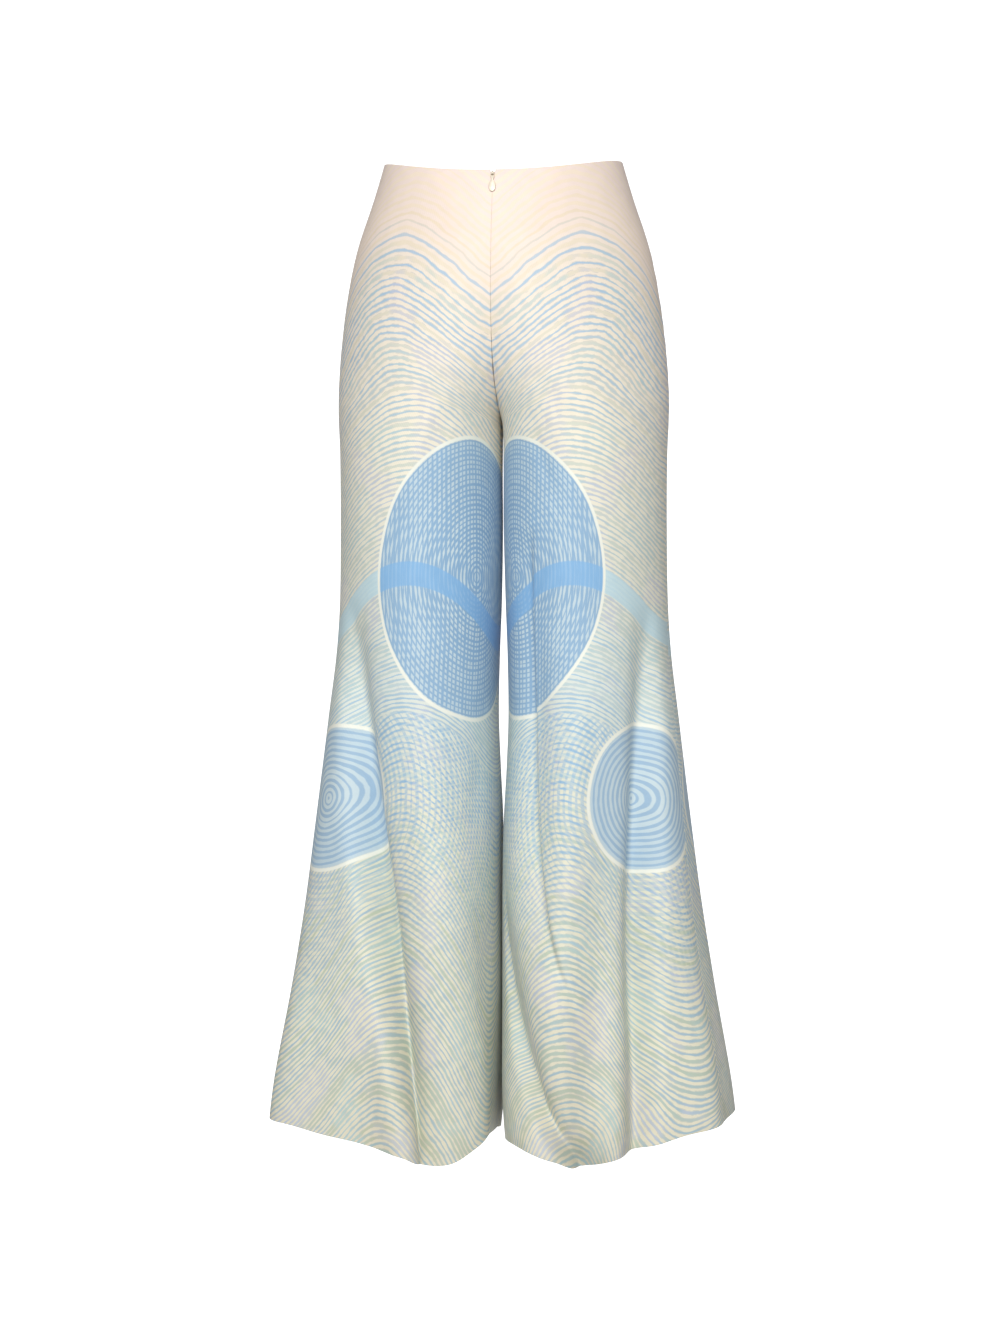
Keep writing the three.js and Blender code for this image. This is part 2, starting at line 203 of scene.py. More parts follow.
# The shell at a panel's edges, in millimetres: grooves at the seams, rounded rims at the waist and
# the hem, and a turned-in layer that adds a share of the cloth's thickness
SEAM_GROOVES = {"inner": 0.15, "side": 0.3}
GROOVE_WIDTH = 0.8
RIM_RADIUS = 0.6
RIM_THINNING = 0.6
TURNED_LAYER = 0.9
LAYER_END = 0.35
SLACK = 0.2
THINNEST = 0.05
# Puckers beside the seams: how far they reach into the panel, and the waves that they are made of
PUCKER_WIDTHS = {"inner": 7, "side": 7, "waist": 9, "hem": 12}
PUCKER_LENGTHS = (13, 37)
PUCKER_WAVES = 5

# The print follows the widening of a panel, evened out over some rows, up to a steepest flare.
SMOOTHED_ROWS = 41
STEEPEST_FLARE = 0.3

# Rows and columns of the cloth, closer together at its edges and at its added folds
SEAT_ROWS = 70
LEG_ROWS = 165
LEG_LENGTH = 780
BELOW_WAIST = (0, 0.3, 0.7, 1.2, 2, 3.5, 5, 7, 9, 10.2, 11, 11.8, 12.6, 15, 19)
ABOVE_HEM = (15.6, 14.6, 14.0, 11, 8, 5, 3, 2, 1.2, 0.7, 0.3, 0)
EDGE_DISTANCES = (0, 0.4, 1.0, 1.8, 3.0, 5.5, 9.0, 11.8, 12.2, 16.0)
COLUMNS_BETWEEN = 118
SURVEY_COLUMNS = 192
FINE_WIDTH = 15.0
FINENESS = 3.0

# The zip, in millimetres: how far its first rows lie below the waist, and how deep its parts lie
# below the outer face of the cloth
ZIP_TOP = (0, 3, 6, 9, 11, 12.5)
TAPE_DEPTHS = (1.5, 1.95)
TEETH_DEPTH = 2.45
TEETH_INSET = 0.5
# The teeth stop at one row above the slider, and go on below it at some times another's depth.
TEETH_STOP_ROW = 3
TEETH_RESUME_ROW = 4
TEETH_RESUME_AT = 1.9
# The inside stitches: how far they lie below the outer face and in from the cloth's raw edges
STITCH_DEPTH = 0.32
SEAM_INSET = 1.2
HEM_INSET = 0.8
# Threads: their pitch, the three points that one bends through and its radius, in millimetres,
# and how much their turns vary, with a seed for that
COIL = {"start": (0, -0.9, 0), "middle": (0.25, 0.4, 1.3), "end": (0.3, 1.0, 0),
        "radius": 0.24, "lean": 0.05, "seed": 5}
OVERLOCK = {"pitch": 2.6, "start": (-0.9, -1.5, -0.1), "middle": (0.1, 0, 0.35),
            "end": (0.9, 1.5, -0.1), "radius": 0.13, "lean": 0.15, "seed": 8}
HEM_STITCH = {"pitch": 5.5, "start": (-1.3, -0.6, -0.1), "middle": (0, 0.6, 0.4),
              "end": (1.3, -0.6, -0.1), "radius": 0.13, "lean": 0.15, "seed": 9}

# Edges of the zip's slider and pull, by the angle between their faces, in degrees
FLAT_BELOW = 1
ROUNDED_ABOVE = 35
SHARP_ABOVE = 38

# The stage, in metres. Each light has a place, a size and a point that it is turned to.
FLOOR_REACH = 14
SCREEN_DISTANCE = 4.9
SCREEN_REACH = 1.3
SCREEN_TOP = 1.2
LIGHTS = {
    "main": ((-0.35, -4.4, 1.6), 1.4, (0, 0, -0.6)),
    "second": ((1.1, -4.4, 1.1), 1.4, (0, 0, -0.7)),
}


def level_axes(azimuth):
    """The level directions to the camera's right and ahead of it."""
    angle = math.radians(azimuth)
    right = np.array([math.cos(angle), math.sin(angle), 0])
    return right, np.array([-math.sin(angle), math.cos(angle), 0])


def look_up(rows, names, column, at):
    """Values from a table, smooth from row to row."""
    keys = rows[:, 0]
    values = rows[:, names.index(column)]
    at = np.asarray(at, float)
    i = np.clip(np.searchsorted(keys, at, side="right") - 1, 0, len(keys) - 2)
    before = np.maximum(np.arange(len(keys)) - 1, 0)
    after = np.minimum(np.arange(len(keys)) + 1, len(keys) - 1)
    slopes = (values[after] - values[before]) / (keys[after] - keys[before])
    span = keys[i + 1] - keys[i]
    t = (at - keys[i]) / span
    rise = values[i + 1] - values[i]
    bend = slopes[i] * span * t * (1 - t) ** 2 - slopes[i + 1] * span * t * t * (1 - t)
    return values[i] + rise * t * t * (3 - 2 * t) + bend


def section_point(drop, turn):
    """A leg's section before its folds: an egg shape, fuller towards the side."""
    outer, inner, crest, back, front = [
        look_up(SECTIONS, SECTION_COLUMNS, name, drop) for name in SECTION_COLUMNS[1:]]
    angle = np.radians(turn)
    across, along = np.cos(angle), np.sin(angle)
    skew = (outer + inner) / 2 - crest
    x = crest + (outer - inner) / 2 * across + skew * across ** 2
    return x, along * np.where(along < 0, back, front)


def beside_fold(row, drop, turn, x, y):
    """A fold's named values, how far down it places are, the turn of its line, how far they are
    from that, and whether they are on its face of the leg."""
    fold = dict(zip(FOLD_COLUMNS, row))
    t = (drop - fold["start"]) / (fold["end"] - fold["start"])
    path = (fold["top"] * (1 - t) * (1 - 2 * t) + 4 * fold["middle"] * t * (1 - t)
            + fold["bottom"] * t * (2 * t - 1))
    path_x, path_y = section_point(drop, path)
    same_face = np.sign(turn) == np.sign(fold["middle"])
    return fold, t, path, np.hypot(x - path_x, y - path_y), same_face


def fold_heights(folds, drop, turn, x, y):
    """How far a leg's folds move the cloth out."""
    total = np.zeros_like(x)
    for row in folds:
        fold, t, path, away, same_face = beside_fold(row, drop, turn, x, y)
        width = np.where(np.abs(turn) > np.abs(path), fold["inward"], fold["sideward"])
        is_broad = width > CRISP_RATIO * min(fold["inward"], fold["sideward"])
        u = away / width
        swell = np.exp(np.where(is_broad, ROUNDING - np.hypot(u, ROUNDING), -u * u))
        held = np.clip(t, 0, 1)
        growth = np.sin(np.pi * held) if fold["fades"] else np.maximum(t, 0) ** GROWTH
        total += np.where(same_face, fold["height"] * growth * swell, 0)
    return total


def crease_heights(leg, drop, turn):
    """How far the soft creases move the cloth out."""
    total = np.zeros_like(drop)
    for row in CREASES[leg]:
        crease = dict(zip(CREASE_COLUMNS, row))
        run = crease["to_drop"] - crease["drop"]
        slant = (crease["to_turn"] - crease["turn"]) * MM_PER_TURN
        length = math.hypot(run, slant)
        down = drop - crease["drop"]
        aside = (turn - crease["turn"]) * MM_PER_TURN
        along = np.clip((down * run + aside * slant) / length ** 2, 0, 1)
        away = np.abs(aside * run - down * slant) / length
        swell = np.sin(np.pi * along) ** 2
        total += crease["height"] * swell * np.exp(-(away / crease["width"]) ** 2)
    return total


def ripple_heights(leg, drop, turn):
    """The slight unevenness of hanging cloth: long waves, mostly down the leg."""
    rng = np.random.default_rng(RIPPLE_SEEDS[leg])
    total = np.zeros_like(drop)
    for _ in range(RIPPLES):
        around = rng.integers(2, 9)
        down = rng.uniform(0.001, 0.011)
        phase, lean = rng.uniform(0, 2 * math.pi, 2)
        total += np.sin(np.radians(turn) * around + down * drop + phase) \
            * np.sin(down * drop * 1.7 + lean)
    return total / RIPPLES


def form_points(leg, drop, turn, crease_strength):
    """The outer face of one leg, as if it were the right one, in millimetres."""
    drop, turn = np.broadcast_arrays(np.asarray(drop, float), np.asarray(turn, float))
    x, y = section_point(drop, turn)
    ahead_x, ahead_y = section_point(drop, turn + STEP)
    behind_x, behind_y = section_point(drop, turn - STEP)
    round_x, round_y = ahead_x - behind_x, ahead_y - behind_y
    length = np.hypot(round_x, round_y)
    fine = crease_heights(leg, drop, turn) + RIPPLE_HEIGHT * ripple_heights(leg, drop, turn) \
        + fold_heights(ADDED_FOLDS[leg], drop, turn, x, y)
    slack = np.clip((drop - CREASES_START) / CREASES_GROW_OVER, 0, 1)
    curl = HEM_CURL * np.clip((drop - HEM_CURL_START) / HEM_CURL_LENGTH, 0, 1.4) ** 2
    height = fold_heights(FOLDS[leg], drop, turn, x, y) + crease_strength * fine * slack - curl
    return np.stack((x + height * round_y / length, y - height * round_x / length, -drop), -1)


def surface_at(leg, drop, turn, crease_strength):
    """Points on the cloth's outer face and its outward directions."""
    points, lower, upper, ahead, behind = [
        form_points(leg, drop + down, turn + aside, crease_strength)
        for down, aside in ((0, 0), (1, 0), (-1, 0), (0, STEP), (0, -STEP))]
    outward = np.cross(lower - upper, ahead - behind)
    return points, outward / np.linalg.norm(outward, axis=-1, keepdims=True)


def middle_turn(facing, drop):
    """The turn at which the form reaches the middle plane, or stops short of it at the zip."""
    opened = np.maximum(0, 1 - (drop - WAIST_DIP["back"]) / ZIP_SPLAY_DROP)
    short = HALF_GAP + (ZIP_SPLAY * opened if facing == "back" else 0)
    outer, inner, crest = [
        look_up(SECTIONS, SECTION_COLUMNS, name, drop) for name in ("outer", "inner", "crest")]
    half_width = (outer - inner) / 2
    skew = (outer + inner) / 2 - crest
    root = np.sqrt(np.maximum(0, half_width ** 2 - 4 * skew * (crest - short)))
    cosine = np.maximum(-1, -2 * (crest - short) / (half_width + root))
    return FACINGS[facing] * np.degrees(np.arccos(cosine))


def panel_places(leg, facing, seat_share, leg_share, across):
    """The drops and turns at places on a panel, from its inner edge (0) to its side (1)."""
    level = np.cos(across * np.pi / 2) ** 2
    dip = WAIST_DIP[facing]
    inner_drop = dip + (CROTCH_DROP - dip) * np.sin(seat_share * np.pi / 2)
    side_drop = CROTCH_ROW_AT_SIDE * seat_share
    seat_drop = side_drop + (inner_drop - side_drop) * level
    inner_turn = np.where(leg_share > 0, FACINGS[facing] * 180.0, middle_turn(facing, inner_drop))
    lowest = look_up(HEMS, HEM_COLUMNS, leg, 0)
    seam_drop = side_drop + (lowest - side_drop) * leg_share
    side_turn = look_up(SIDE_SEAMS, SEAM_COLUMNS, leg, seam_drop)
    turn = inner_turn + (side_turn - inner_turn) * across
    drop = seat_drop + (look_up(HEMS, HEM_COLUMNS, leg, turn) - seat_drop) * leg_share
    return drop, turn


def rim_depth(distance, radius):
    """How far a rounded edge curves in, at a distance from it."""
    inside = np.clip(radius - distance, 0, radius)
    return radius - np.sqrt(radius ** 2 - inside ** 2)


def step_down(distance, width):
    """1 on a turned-in allowance and 0 beyond it."""
    return 1 / (1 + np.exp(np.clip((distance - width) / LAYER_END, -40, 40)))


def uneven(seed, along):
    """A made-up unevenness along a seam, from about -1 to 1."""
    rng = np.random.default_rng(seed)
    waves = [np.sin(2 * math.pi * along / rng.uniform(*PUCKER_LENGTHS) + rng.uniform(0, 7))
             for _ in range(PUCKER_WAVES)]
    strength = np.clip(0.55 + 0.5 * np.sin(along / 61 + seed), 0.1, 1)
    return sum(waves) / 2.6 * strength


def seat_shares(below_waist):
    """The shares of the seat that lie at depths below the waist, at the middle of the back."""
    depth = CROTCH_DROP - WAIST_DIP["back"]
    return np.degrees(np.arcsin(np.array(below_waist) / depth)) / 90


def panel_rows():
    """Shares of the seat and of the leg that a panel's rows lie at, close together at its ends."""
    first = seat_shares(BELOW_WAIST)
    seat = np.concatenate((first[:-1], np.linspace(first[-1], 1, SEAT_ROWS)))
    last = 1 - np.array(ABOVE_HEM) / LEG_LENGTH
    leg = np.concatenate((np.linspace(0, last[0], LEG_ROWS)[1:-1], last))
    seat_share = np.concatenate((seat, np.ones(len(leg))))
    leg_share = np.concatenate((np.zeros(len(seat)), leg))
    return seat_share[:, None], leg_share[:, None]


def near_folds(leg, drop, turn):
    """How close places are to the added folds: 1 on a fold and 0 away from it."""
    x, y = section_point(drop, turn)
    nearest = np.zeros_like(x)
    for row in ADDED_FOLDS[leg]:
        _, t, _, away, same_face = beside_fold(row, drop, turn, x, y)
        held = np.clip(t * 4, 0, 1) * same_face
        nearest = np.maximum(nearest, held * np.exp(-(away / FINE_WIDTH) ** 2))
    return nearest


def running_total(steps):
    """Each row's sums so far, from 0."""
    return np.concatenate((np.zeros((len(steps), 1)), np.cumsum(steps, axis=1)), axis=1)


def survey_rows(leg, facing, seat_share, leg_share):
    """Even places across a panel's rows: their shares, drops, turns and distances along."""
    across = np.linspace(0, 1, SURVEY_COLUMNS + 1)
    drop, turn = panel_places(leg, facing, seat_share, leg_share, across[None, :])
    rough = form_points(leg, drop, turn, 0)
    along = running_total(np.linalg.norm(np.diff(rough, axis=1), axis=-1))
    return across, drop, turn, along


def middle_columns(along, weighed, edge):
    """Distances from a row's start for the columns between its edges, closer at the folds."""
    first = np.interp(edge, along, weighed)
    last = np.interp(along[-1] - edge, along, weighed)
    between = np.linspace(first, last, COLUMNS_BETWEEN + 2)[1:-1]
    return np.interp(between, weighed, along)


def panel_grid(leg, facing, crease_strength):
    """Points, outward directions and distances from the edges, over one panel."""
    seat_share, leg_share = panel_rows()
    survey, drop, turn, along = survey_rows(leg, facing, seat_share, leg_share)
    length = along[:, -1:]
    edge = np.array(EDGE_DISTANCES)
    weight = 1 + FINENESS * near_folds(leg, drop, turn)
    weighed = running_total(np.diff(along, axis=1) * (weight[:, 1:] + weight[:, :-1]) / 2)
    middle = np.stack([middle_columns(*row, edge[-1]) for row in zip(along, weighed)])
    start = np.repeat(edge[None, :], len(length), axis=0)
    distance = np.concatenate((start, middle, length - start[:, ::-1]), axis=1)
    across = np.stack([np.interp(d, a, survey) for d, a in zip(distance, along)])
    drop, turn = panel_places(leg, facing, seat_share, leg_share, across)
    points, outward = surface_at(leg, drop, turn, crease_strength)
    edges = {
        "inner": distance,
        "side": length - distance,
        "waist": drop - drop[:1],
        "hem": look_up(HEMS, HEM_COLUMNS, leg, turn) - drop,
    }
    return {"points": points, "outward": outward, "drop": drop, "turn": turn, "edges": edges,
            "length": length}


def pucker_heights(leg, facing, grid, strength):
    """Small puckers beside the seams. The two panels of a seam share them."""
    drop, edges = grid["drop"], grid["edges"]
    around = grid["turn"] * MM_PER_TURN
    is_left = leg == "left"
    waves = {
        "inner": np.where(drop < CROTCH_DROP, uneven(3 if facing == "back" else 5, drop),
                          uneven(7 if is_left else 11, drop)),
        "side": uneven(13 if is_left else 17, drop),
        "waist": 0.5 * uneven(19, around),
        "hem": 0.8 * uneven(23, around),
    }
    return strength * sum(wave * np.exp(-(edges[edge] / PUCKER_WIDTHS[edge]) ** 2)
                          for edge, wave in waves.items())


def add_object(name, data):
    """A new object at the origin, in the scene."""
    made = bpy.data.objects.new(name, data)
    bpy.context.scene.collection.objects.link(made)
    return made


def add_mesh(name, points, faces, material):
    """A new object from points in metres and faces, at the origin."""
    mesh = bpy.data.meshes.new(name)
    mesh.from_pydata(points, [], faces)
    mesh.polygons.foreach_set("use_smooth", [True] * len(mesh.polygons))
    mesh.materials.append(material)
    mesh.update()
    return add_object(name, mesh)


def plain_copy(source, name):
    """An object with the plain mesh that another's modifiers make. It takes that one's place."""
    bpy.context.view_layer.update()
    evaluated = source.evaluated_get(bpy.context.evaluated_depsgraph_get())
    mesh = bpy.data.meshes.new_from_object(evaluated)
    mesh.name = name
    mesh.polygons.foreach_set("use_smooth", [True] * len(mesh.polygons))
    bpy.data.objects.remove(source)
    return add_object(name, mesh)


def add_shell(name, leg, facing, walls, material):
    """A closed shell: an outer grid of points in mm, an inner one and the strip between them."""
    rows, columns = walls[0].shape[:2]
    index = np.arange(rows * columns).reshape(rows, columns)
    corners = [index[:-1, :-1], index[1:, :-1], index[1:, 1:], index[:-1, 1:]]
    outer = np.stack([c.ravel() for c in corners], -1)
    inner = outer[:, ::-1] + rows * columns
    border = np.concatenate((index[0, :-1], index[:-1, -1], index[-1, :0:-1], index[:0:-1, 0]))
    after = np.roll(border, -1)
    strip = np.stack((border, after, after + rows * columns, border + rows * columns), -1)
    faces = np.concatenate((outer, inner, strip))
    if SIDES[leg] != -FACINGS[facing]:
        faces = faces[:, ::-1]
    points = np.concatenate([wall.reshape(-1, 3) for wall in walls]) * MM
    return add_mesh(name, points, faces.tolist(), material)


def cloth_shell(name, leg, facing, grid, depths, material):
    """A closed shell of cloth between two depths below a grid's points."""
    side = np.array([SIDES[leg], 1, 1])
    walls = [(grid["points"] - grid["outward"] * depth[..., None]) * side for depth in depths]
    made = add_shell(name, leg, facing, walls, material)
    inside = np.repeat(np.array([0.0, 1.0], np.float32), grid["drop"].size)
    made.data.attributes.new("inside", "FLOAT", "POINT").data.foreach_set("value", inside)
    return made


def lay_print(made, grid):
    """A UV map in metres: from the panel's middle towards its side, and down from the waist."""
    width = grid["length"]
    offset = grid["edges"]["inner"] - width / 2
    widening = np.gradient(width[:, 0], grid["drop"][:, 0].clip(1) + np.arange(len(width)) * 1e-3)
    padded = np.pad(widening, SMOOTHED_ROWS // 2, mode="edge")
    smooth = np.convolve(padded, np.ones(SMOOTHED_ROWS) / SMOOTHED_ROWS, "valid")
    sag = np.clip(smooth, 0, STEEPEST_FLARE)[:, None] / (2 * width) * offset ** 2
    placed = np.stack((offset, grid["drop"] - sag), -1).reshape(-1, 2) * MM
    placed = np.concatenate((placed, placed))
    layer = made.data.uv_layers.new(name="cloth")
    corners = np.zeros(len(made.data.loops), int)
    made.data.loops.foreach_get("vertex_index", corners)
    layer.data.foreach_set("uv", placed[corners].astype(np.float32).ravel())


# Materials

def paint(code):
    """A colour from its sRGB code, as the linear colour that a shader needs."""
    values = [int(code[i:i + 2], 16) / 255 for i in (0, 2, 4)]
    return [v / 12.92 if v <= 0.04045 else ((v + 0.055) / 1.055) ** 2.4 for v in values] + [1.0]


def feed(tree, socket, value):
    """Links a value that is a socket itself, or fills in any other."""
    if isinstance(value, bpy.types.NodeSocket):
        tree.links.new(value, socket)
    else:
        socket.default_value = value


def feed_named(tree, sockets, values):
    """Links or fills in sockets by their names."""
    for name, value in values.items():
        feed(tree, sockets[name], value)


def add_node(tree, kind, *inputs, **settings):
    """A node with its settings made and its inputs linked or filled, in order."""
    made = tree.nodes.new(kind)
    for name, value in settings.items():
        setattr(made, name, value)
    for socket, value in zip(made.inputs, inputs):
        if value is not None:
            feed(tree, socket, value)
    return made


def maths(tree, operation, *values):
    return add_node(tree, "ShaderNodeMath", *values, operation=operation).outputs[0]


def plus(tree, first, second):
    return maths(tree, "ADD", first, second)


def minus(tree, first, second):
    return maths(tree, "SUBTRACT", first, second)


def over(tree, first, second):
    return maths(tree, "DIVIDE", first, second)


def times(tree, first, *factors):
    """The product of two or more values."""
    for factor in factors:
        first = maths(tree, "MULTIPLY", first, factor)
    return first


def centred(tree, value, middle, strength):
    """How far a value is from its middle, times a strength."""
    return times(tree, minus(tree, value, middle), strength)


def noise(tree, place, scale, detail, dimensions="3D"):
    return add_node(tree, "ShaderNodeTexNoise", place, None, scale, detail,
                    noise_dimensions=dimensions).outputs[0]


def bumps(tree, height, strength, distance):
    """The normal of a surface with small heights on it."""
    made = add_node(tree, "ShaderNodeBump", strength, distance)
    tree.links.new(height, made.inputs["Height"])
    return made.outputs[0]


def smooth_range(tree, value, start, end):
    """0 before start and 1 after end, smoothly."""
    made = add_node(tree, "ShaderNodeMapRange", value, start, end, 0.0, 1.0,
                    interpolation_type="SMOOTHSTEP")
    return made.outputs["Result"]


def mix_colours(tree, factor, first, second, blend_type="MIX"):
    made = add_node(tree, "ShaderNodeMix", data_type="RGBA", blend_type=blend_type)
    sockets = {socket.identifier: socket for socket in made.inputs}
    feed_named(tree, sockets, {"Factor_Float": factor, "A_Color": first, "B_Color": second})
    return next(s for s in made.outputs if s.identifier == "Result_Color")


def colour_ramp(tree, value, stops):
    made = add_node(tree, "ShaderNodeValToRGB", value)
    elements = made.color_ramp.elements
    while len(elements) < len(stops):
        elements.new(0.5)
    for element, (position, code) in zip(elements, stops):
        element.position = position
        element.color = paint(code)
    return made.outputs["Color"]


def new_group(name, inputs, outputs):
    """A shader group with its sockets, what its input node gives and what its output takes."""
    tree = bpy.data.node_groups.new(name, "ShaderNodeTree")
    for direction, sockets in (("INPUT", inputs), ("OUTPUT", outputs)):
        for label, kind, *default in sockets:
            made = tree.interface.new_socket(label, in_out=direction, socket_type=kind)
            if default:
                made.default_value = default[0]
    given = tree.nodes.new("NodeGroupInput").outputs
    return tree, given, tree.nodes.new("NodeGroupOutput").inputs


def use_group(tree, group, **inputs):
    """The outputs of a shader group with these inputs."""
    made = add_node(tree, "ShaderNodeGroup", node_tree=group)
    feed_named(tree, made.inputs, inputs)
    return made.outputs


def new_material(name):
    """A new material, its tree and its shader."""
    material = bpy.data.materials.new(name)
    material.use_nodes = True
    return material, material.node_tree, material.node_tree.nodes["Principled BSDF"]


def shared_material(name, make, *values):
    """A material by its name, made the first time that it is asked for."""
    return bpy.data.materials.get(name) or make(name, *values)


FLOAT, VECTOR = "NodeSocketFloat", "NodeSocketVector"


def drawn_lines_group():
    """Brushed lines where the phase is a whole number, a number for each, and pencil lines."""
    inputs = [("Phase", FLOAT), ("Place", VECTOR), ("Width", FLOAT, 0.4),
              ("Softness", FLOAT, 0.16), ("Waver", FLOAT, 0.8)]
    outputs = [("Mask", FLOAT), ("Chance", FLOAT), ("Pencil", FLOAT)]
    tree, given, result = new_group("Drawn lines", inputs, outputs)
    waver = noise(tree, given["Place"], 30.0, 2.0, "2D")
    broad = noise(tree, given["Place"], 8.0, 1.0, "2D")
    both = plus(tree, waver, times(tree, broad, 0.9))
    drift = centred(tree, both, 0.95, given["Waver"])
    phase = plus(tree, given["Phase"], drift)
    line = maths(tree, "ROUND", phase)
    away = maths(tree, "ABSOLUTE", minus(tree, phase, line))
    chance = add_node(tree, "ShaderNodeTexWhiteNoise", None, line,
                      noise_dimensions="1D").outputs["Value"]
    pressure = noise(tree, given["Place"], 95.0, 3.0, "2D")
    swell = centred(tree, pressure, 0.5, 0.45)
    own = centred(tree, chance, 0.5, 0.34)
    width = plus(tree, given["Width"], plus(tree, swell, own))
    half = times(tree, width, 0.5)
    soft = times(tree, given["Softness"], 0.5)
    mask = smooth_range(tree, away, plus(tree, half, soft),
                        minus(tree, half, soft))
    beside = maths(tree, "ABSOLUTE", minus(tree, away, plus(tree, half, 0.07)))
    pressed = smooth_range(tree, pressure, 0.42, 0.6)
    pencil = times(tree, smooth_range(tree, beside, 0.07, 0.02), pressed)
    feed_named(tree, result, {"Mask": mask, "Chance": chance, "Pencil": pencil})
    return tree


def ring_distance_group():
    """The distance from a centre on the cloth, a little uneven as if drawn by hand."""
    inputs = [("Place", VECTOR), ("Centre", VECTOR), ("Stretch", FLOAT, 1.0)]
    tree, given, result = new_group("Ring distance", inputs, [("Distance", FLOAT)])
    away = add_node(tree, "ShaderNodeVectorMath", given["Place"], given["Centre"],
                    operation="SUBTRACT").outputs[0]
    scale = add_node(tree, "ShaderNodeCombineXYZ", given["Stretch"], 1.0, 0.0).outputs[0]
    shaped = add_node(tree, "ShaderNodeVectorMath", away, scale, operation="MULTIPLY").outputs[0]
    length = add_node(tree, "ShaderNodeVectorMath", shaped, operation="LENGTH").outputs["Value"]
    drift = centred(tree, noise(tree, given["Place"], 7.0, 1.0), 0.5, 0.012)
    feed(tree, result["Distance"], plus(tree, length, drift))
    return tree


def satin_weave_group():
    """The height and the sheen streaks of a satin weave, from a place on the cloth in metres."""
    inputs = [("Place", VECTOR), ("Threads per metre", FLOAT, 2600.0)]
    tree, given, result = new_group("Satin weave", inputs, [("Height", FLOAT), ("Streak", FLOAT)])
    parts = add_node(tree, "ShaderNodeSeparateXYZ", given["Place"]).outputs
    lean = plus(tree, parts[0], times(tree, parts[1], 0.55))
    twill = maths(tree, "SINE", times(tree, lean, given["Threads per metre"]))
    stretch = add_node(tree, "ShaderNodeMapping", given["Place"], None, None, (260.0, 22.0, 1.0),
                       vector_type="POINT").outputs[0]
    slub = noise(tree, stretch, 1.0, 3.0)
    height = plus(tree, times(tree, twill, 0.35), times(tree, slub, 0.9))
    feed_named(tree, result, {"Height": height, "Streak": slub})
    return tree


def uneven_dye_group():
    """Soft patches where the dye took a little more or less."""
    tree, given, result = new_group("Uneven dye", [("Place", VECTOR), ("Amount", FLOAT, 0.1)],
                                    [("Strength", FLOAT)])
    broad = noise(tree, given["Place"], 9.0, 3.0)
    fine = noise(tree, given["Place"], 70.0, 4.0)
    both = plus(tree, broad, times(tree, fine, 0.6))
    patches = centred(tree, both, 0.8, given["Amount"])
    feed(tree, result["Strength"], plus(tree, 1.0, patches))
    return tree


# The print: its length in metres, and its colours by their share of that, from the waist down. The
# ground's last stop also holds a little painted shade at the hem.
PRINT_LENGTH = 1.1
GROUNDS = (
    (0.0, "F1DDD5"), (0.09, "F1E0D4"), (0.13, "EFE2D2"), (0.30, "EEE6D2"), (0.42, "E6E3D2"),
    # From 0.85 down to the hem the ground darkens: the print's own sage-cream, with a little
    # painted shade added at the hem.
    (0.55, "DAE1DA"), (0.67, "E2E0CB"), (0.85, "E3DEC7"), (1.0, "DDD5BE"),
)
INKS = (
    (0.0, "F3E1CB"), (0.09, "EBDAC0"), (0.11, "9CBFDA"), (0.26, "A3C1D2"), (0.40, "AFC7C9"),
    (0.52, "9CC1D8"), (0.64, "8BB5D6"), (0.76, "98B8CB"), (0.90, "98B6C6"), (1.0, "9EB8BD"),
)
SECOND_INKS = (
    (0.0, "F5E4D0"), (0.10, "EEDDC5"), (0.13, "E4DAC4"), (0.30, "CED3C5"), (0.45, "C0CEC6"),
    (0.60, "B8D0D8"), (0.75, "B9C5AE"), (0.90, "AFC0B4"), (1.0, "B8BEA6"),
)
TINTS = {"lilac": "BFC3D8", "aqua": "A9C9D0", "pencil": "94A3AC", "ribbon": "BFDAE2",
         "disc": "C9D9DE", "check": "8FB1CE", "deep": "98B6CE", "outline": "EDEEE2",
         "crossed": "84B4DE", "wrong side": "F4EFE4"}
# Where features of the print start and end, in metres down the waves
COLOURED = (0.11, 0.17)
RIBBON = (0.470, 0.496)
CROSSING_FADE = (0.94, 0.70)
SOFT_EDGE = 0.002
# Discs of the print: their centres in metres from the panel's middle and waist, and their rings
# with a pitch that is a share of the waves' one
LARGE_DISC = {"centre": (-0.085, 0.455, 0.0), "radius": 0.150, "stretch": 1.25, "pitch": 0.56,
              "width": 0.46, "waver": 0.25}
SMALL_DISC = {"centre": (0.105, 0.690, 0.0), "radius": 0.078, "stretch": 1.0, "pitch": 0.7,
              "width": 0.44, "waver": 0.4}
LOW_RINGS = {"centre": (-0.11, 0.93, 0.0), "stretch": 1.0, "pitch": 0.6, "width": 0.42,
             "waver": 0.4}


def disc_lines(tree, shared, place, disc, pitch):
    """The distance from a disc's centre and the lines of rings round it."""
    ring = use_group(tree, shared["rings"], Place=place, Centre=disc["centre"],
                     Stretch=disc["stretch"])[0]
    phase = over(tree, ring, pitch * disc["pitch"])
    return ring, use_group(tree, shared["lines"], Phase=phase, Place=place, Width=disc["width"],
                           Waver=disc["waver"])[0]


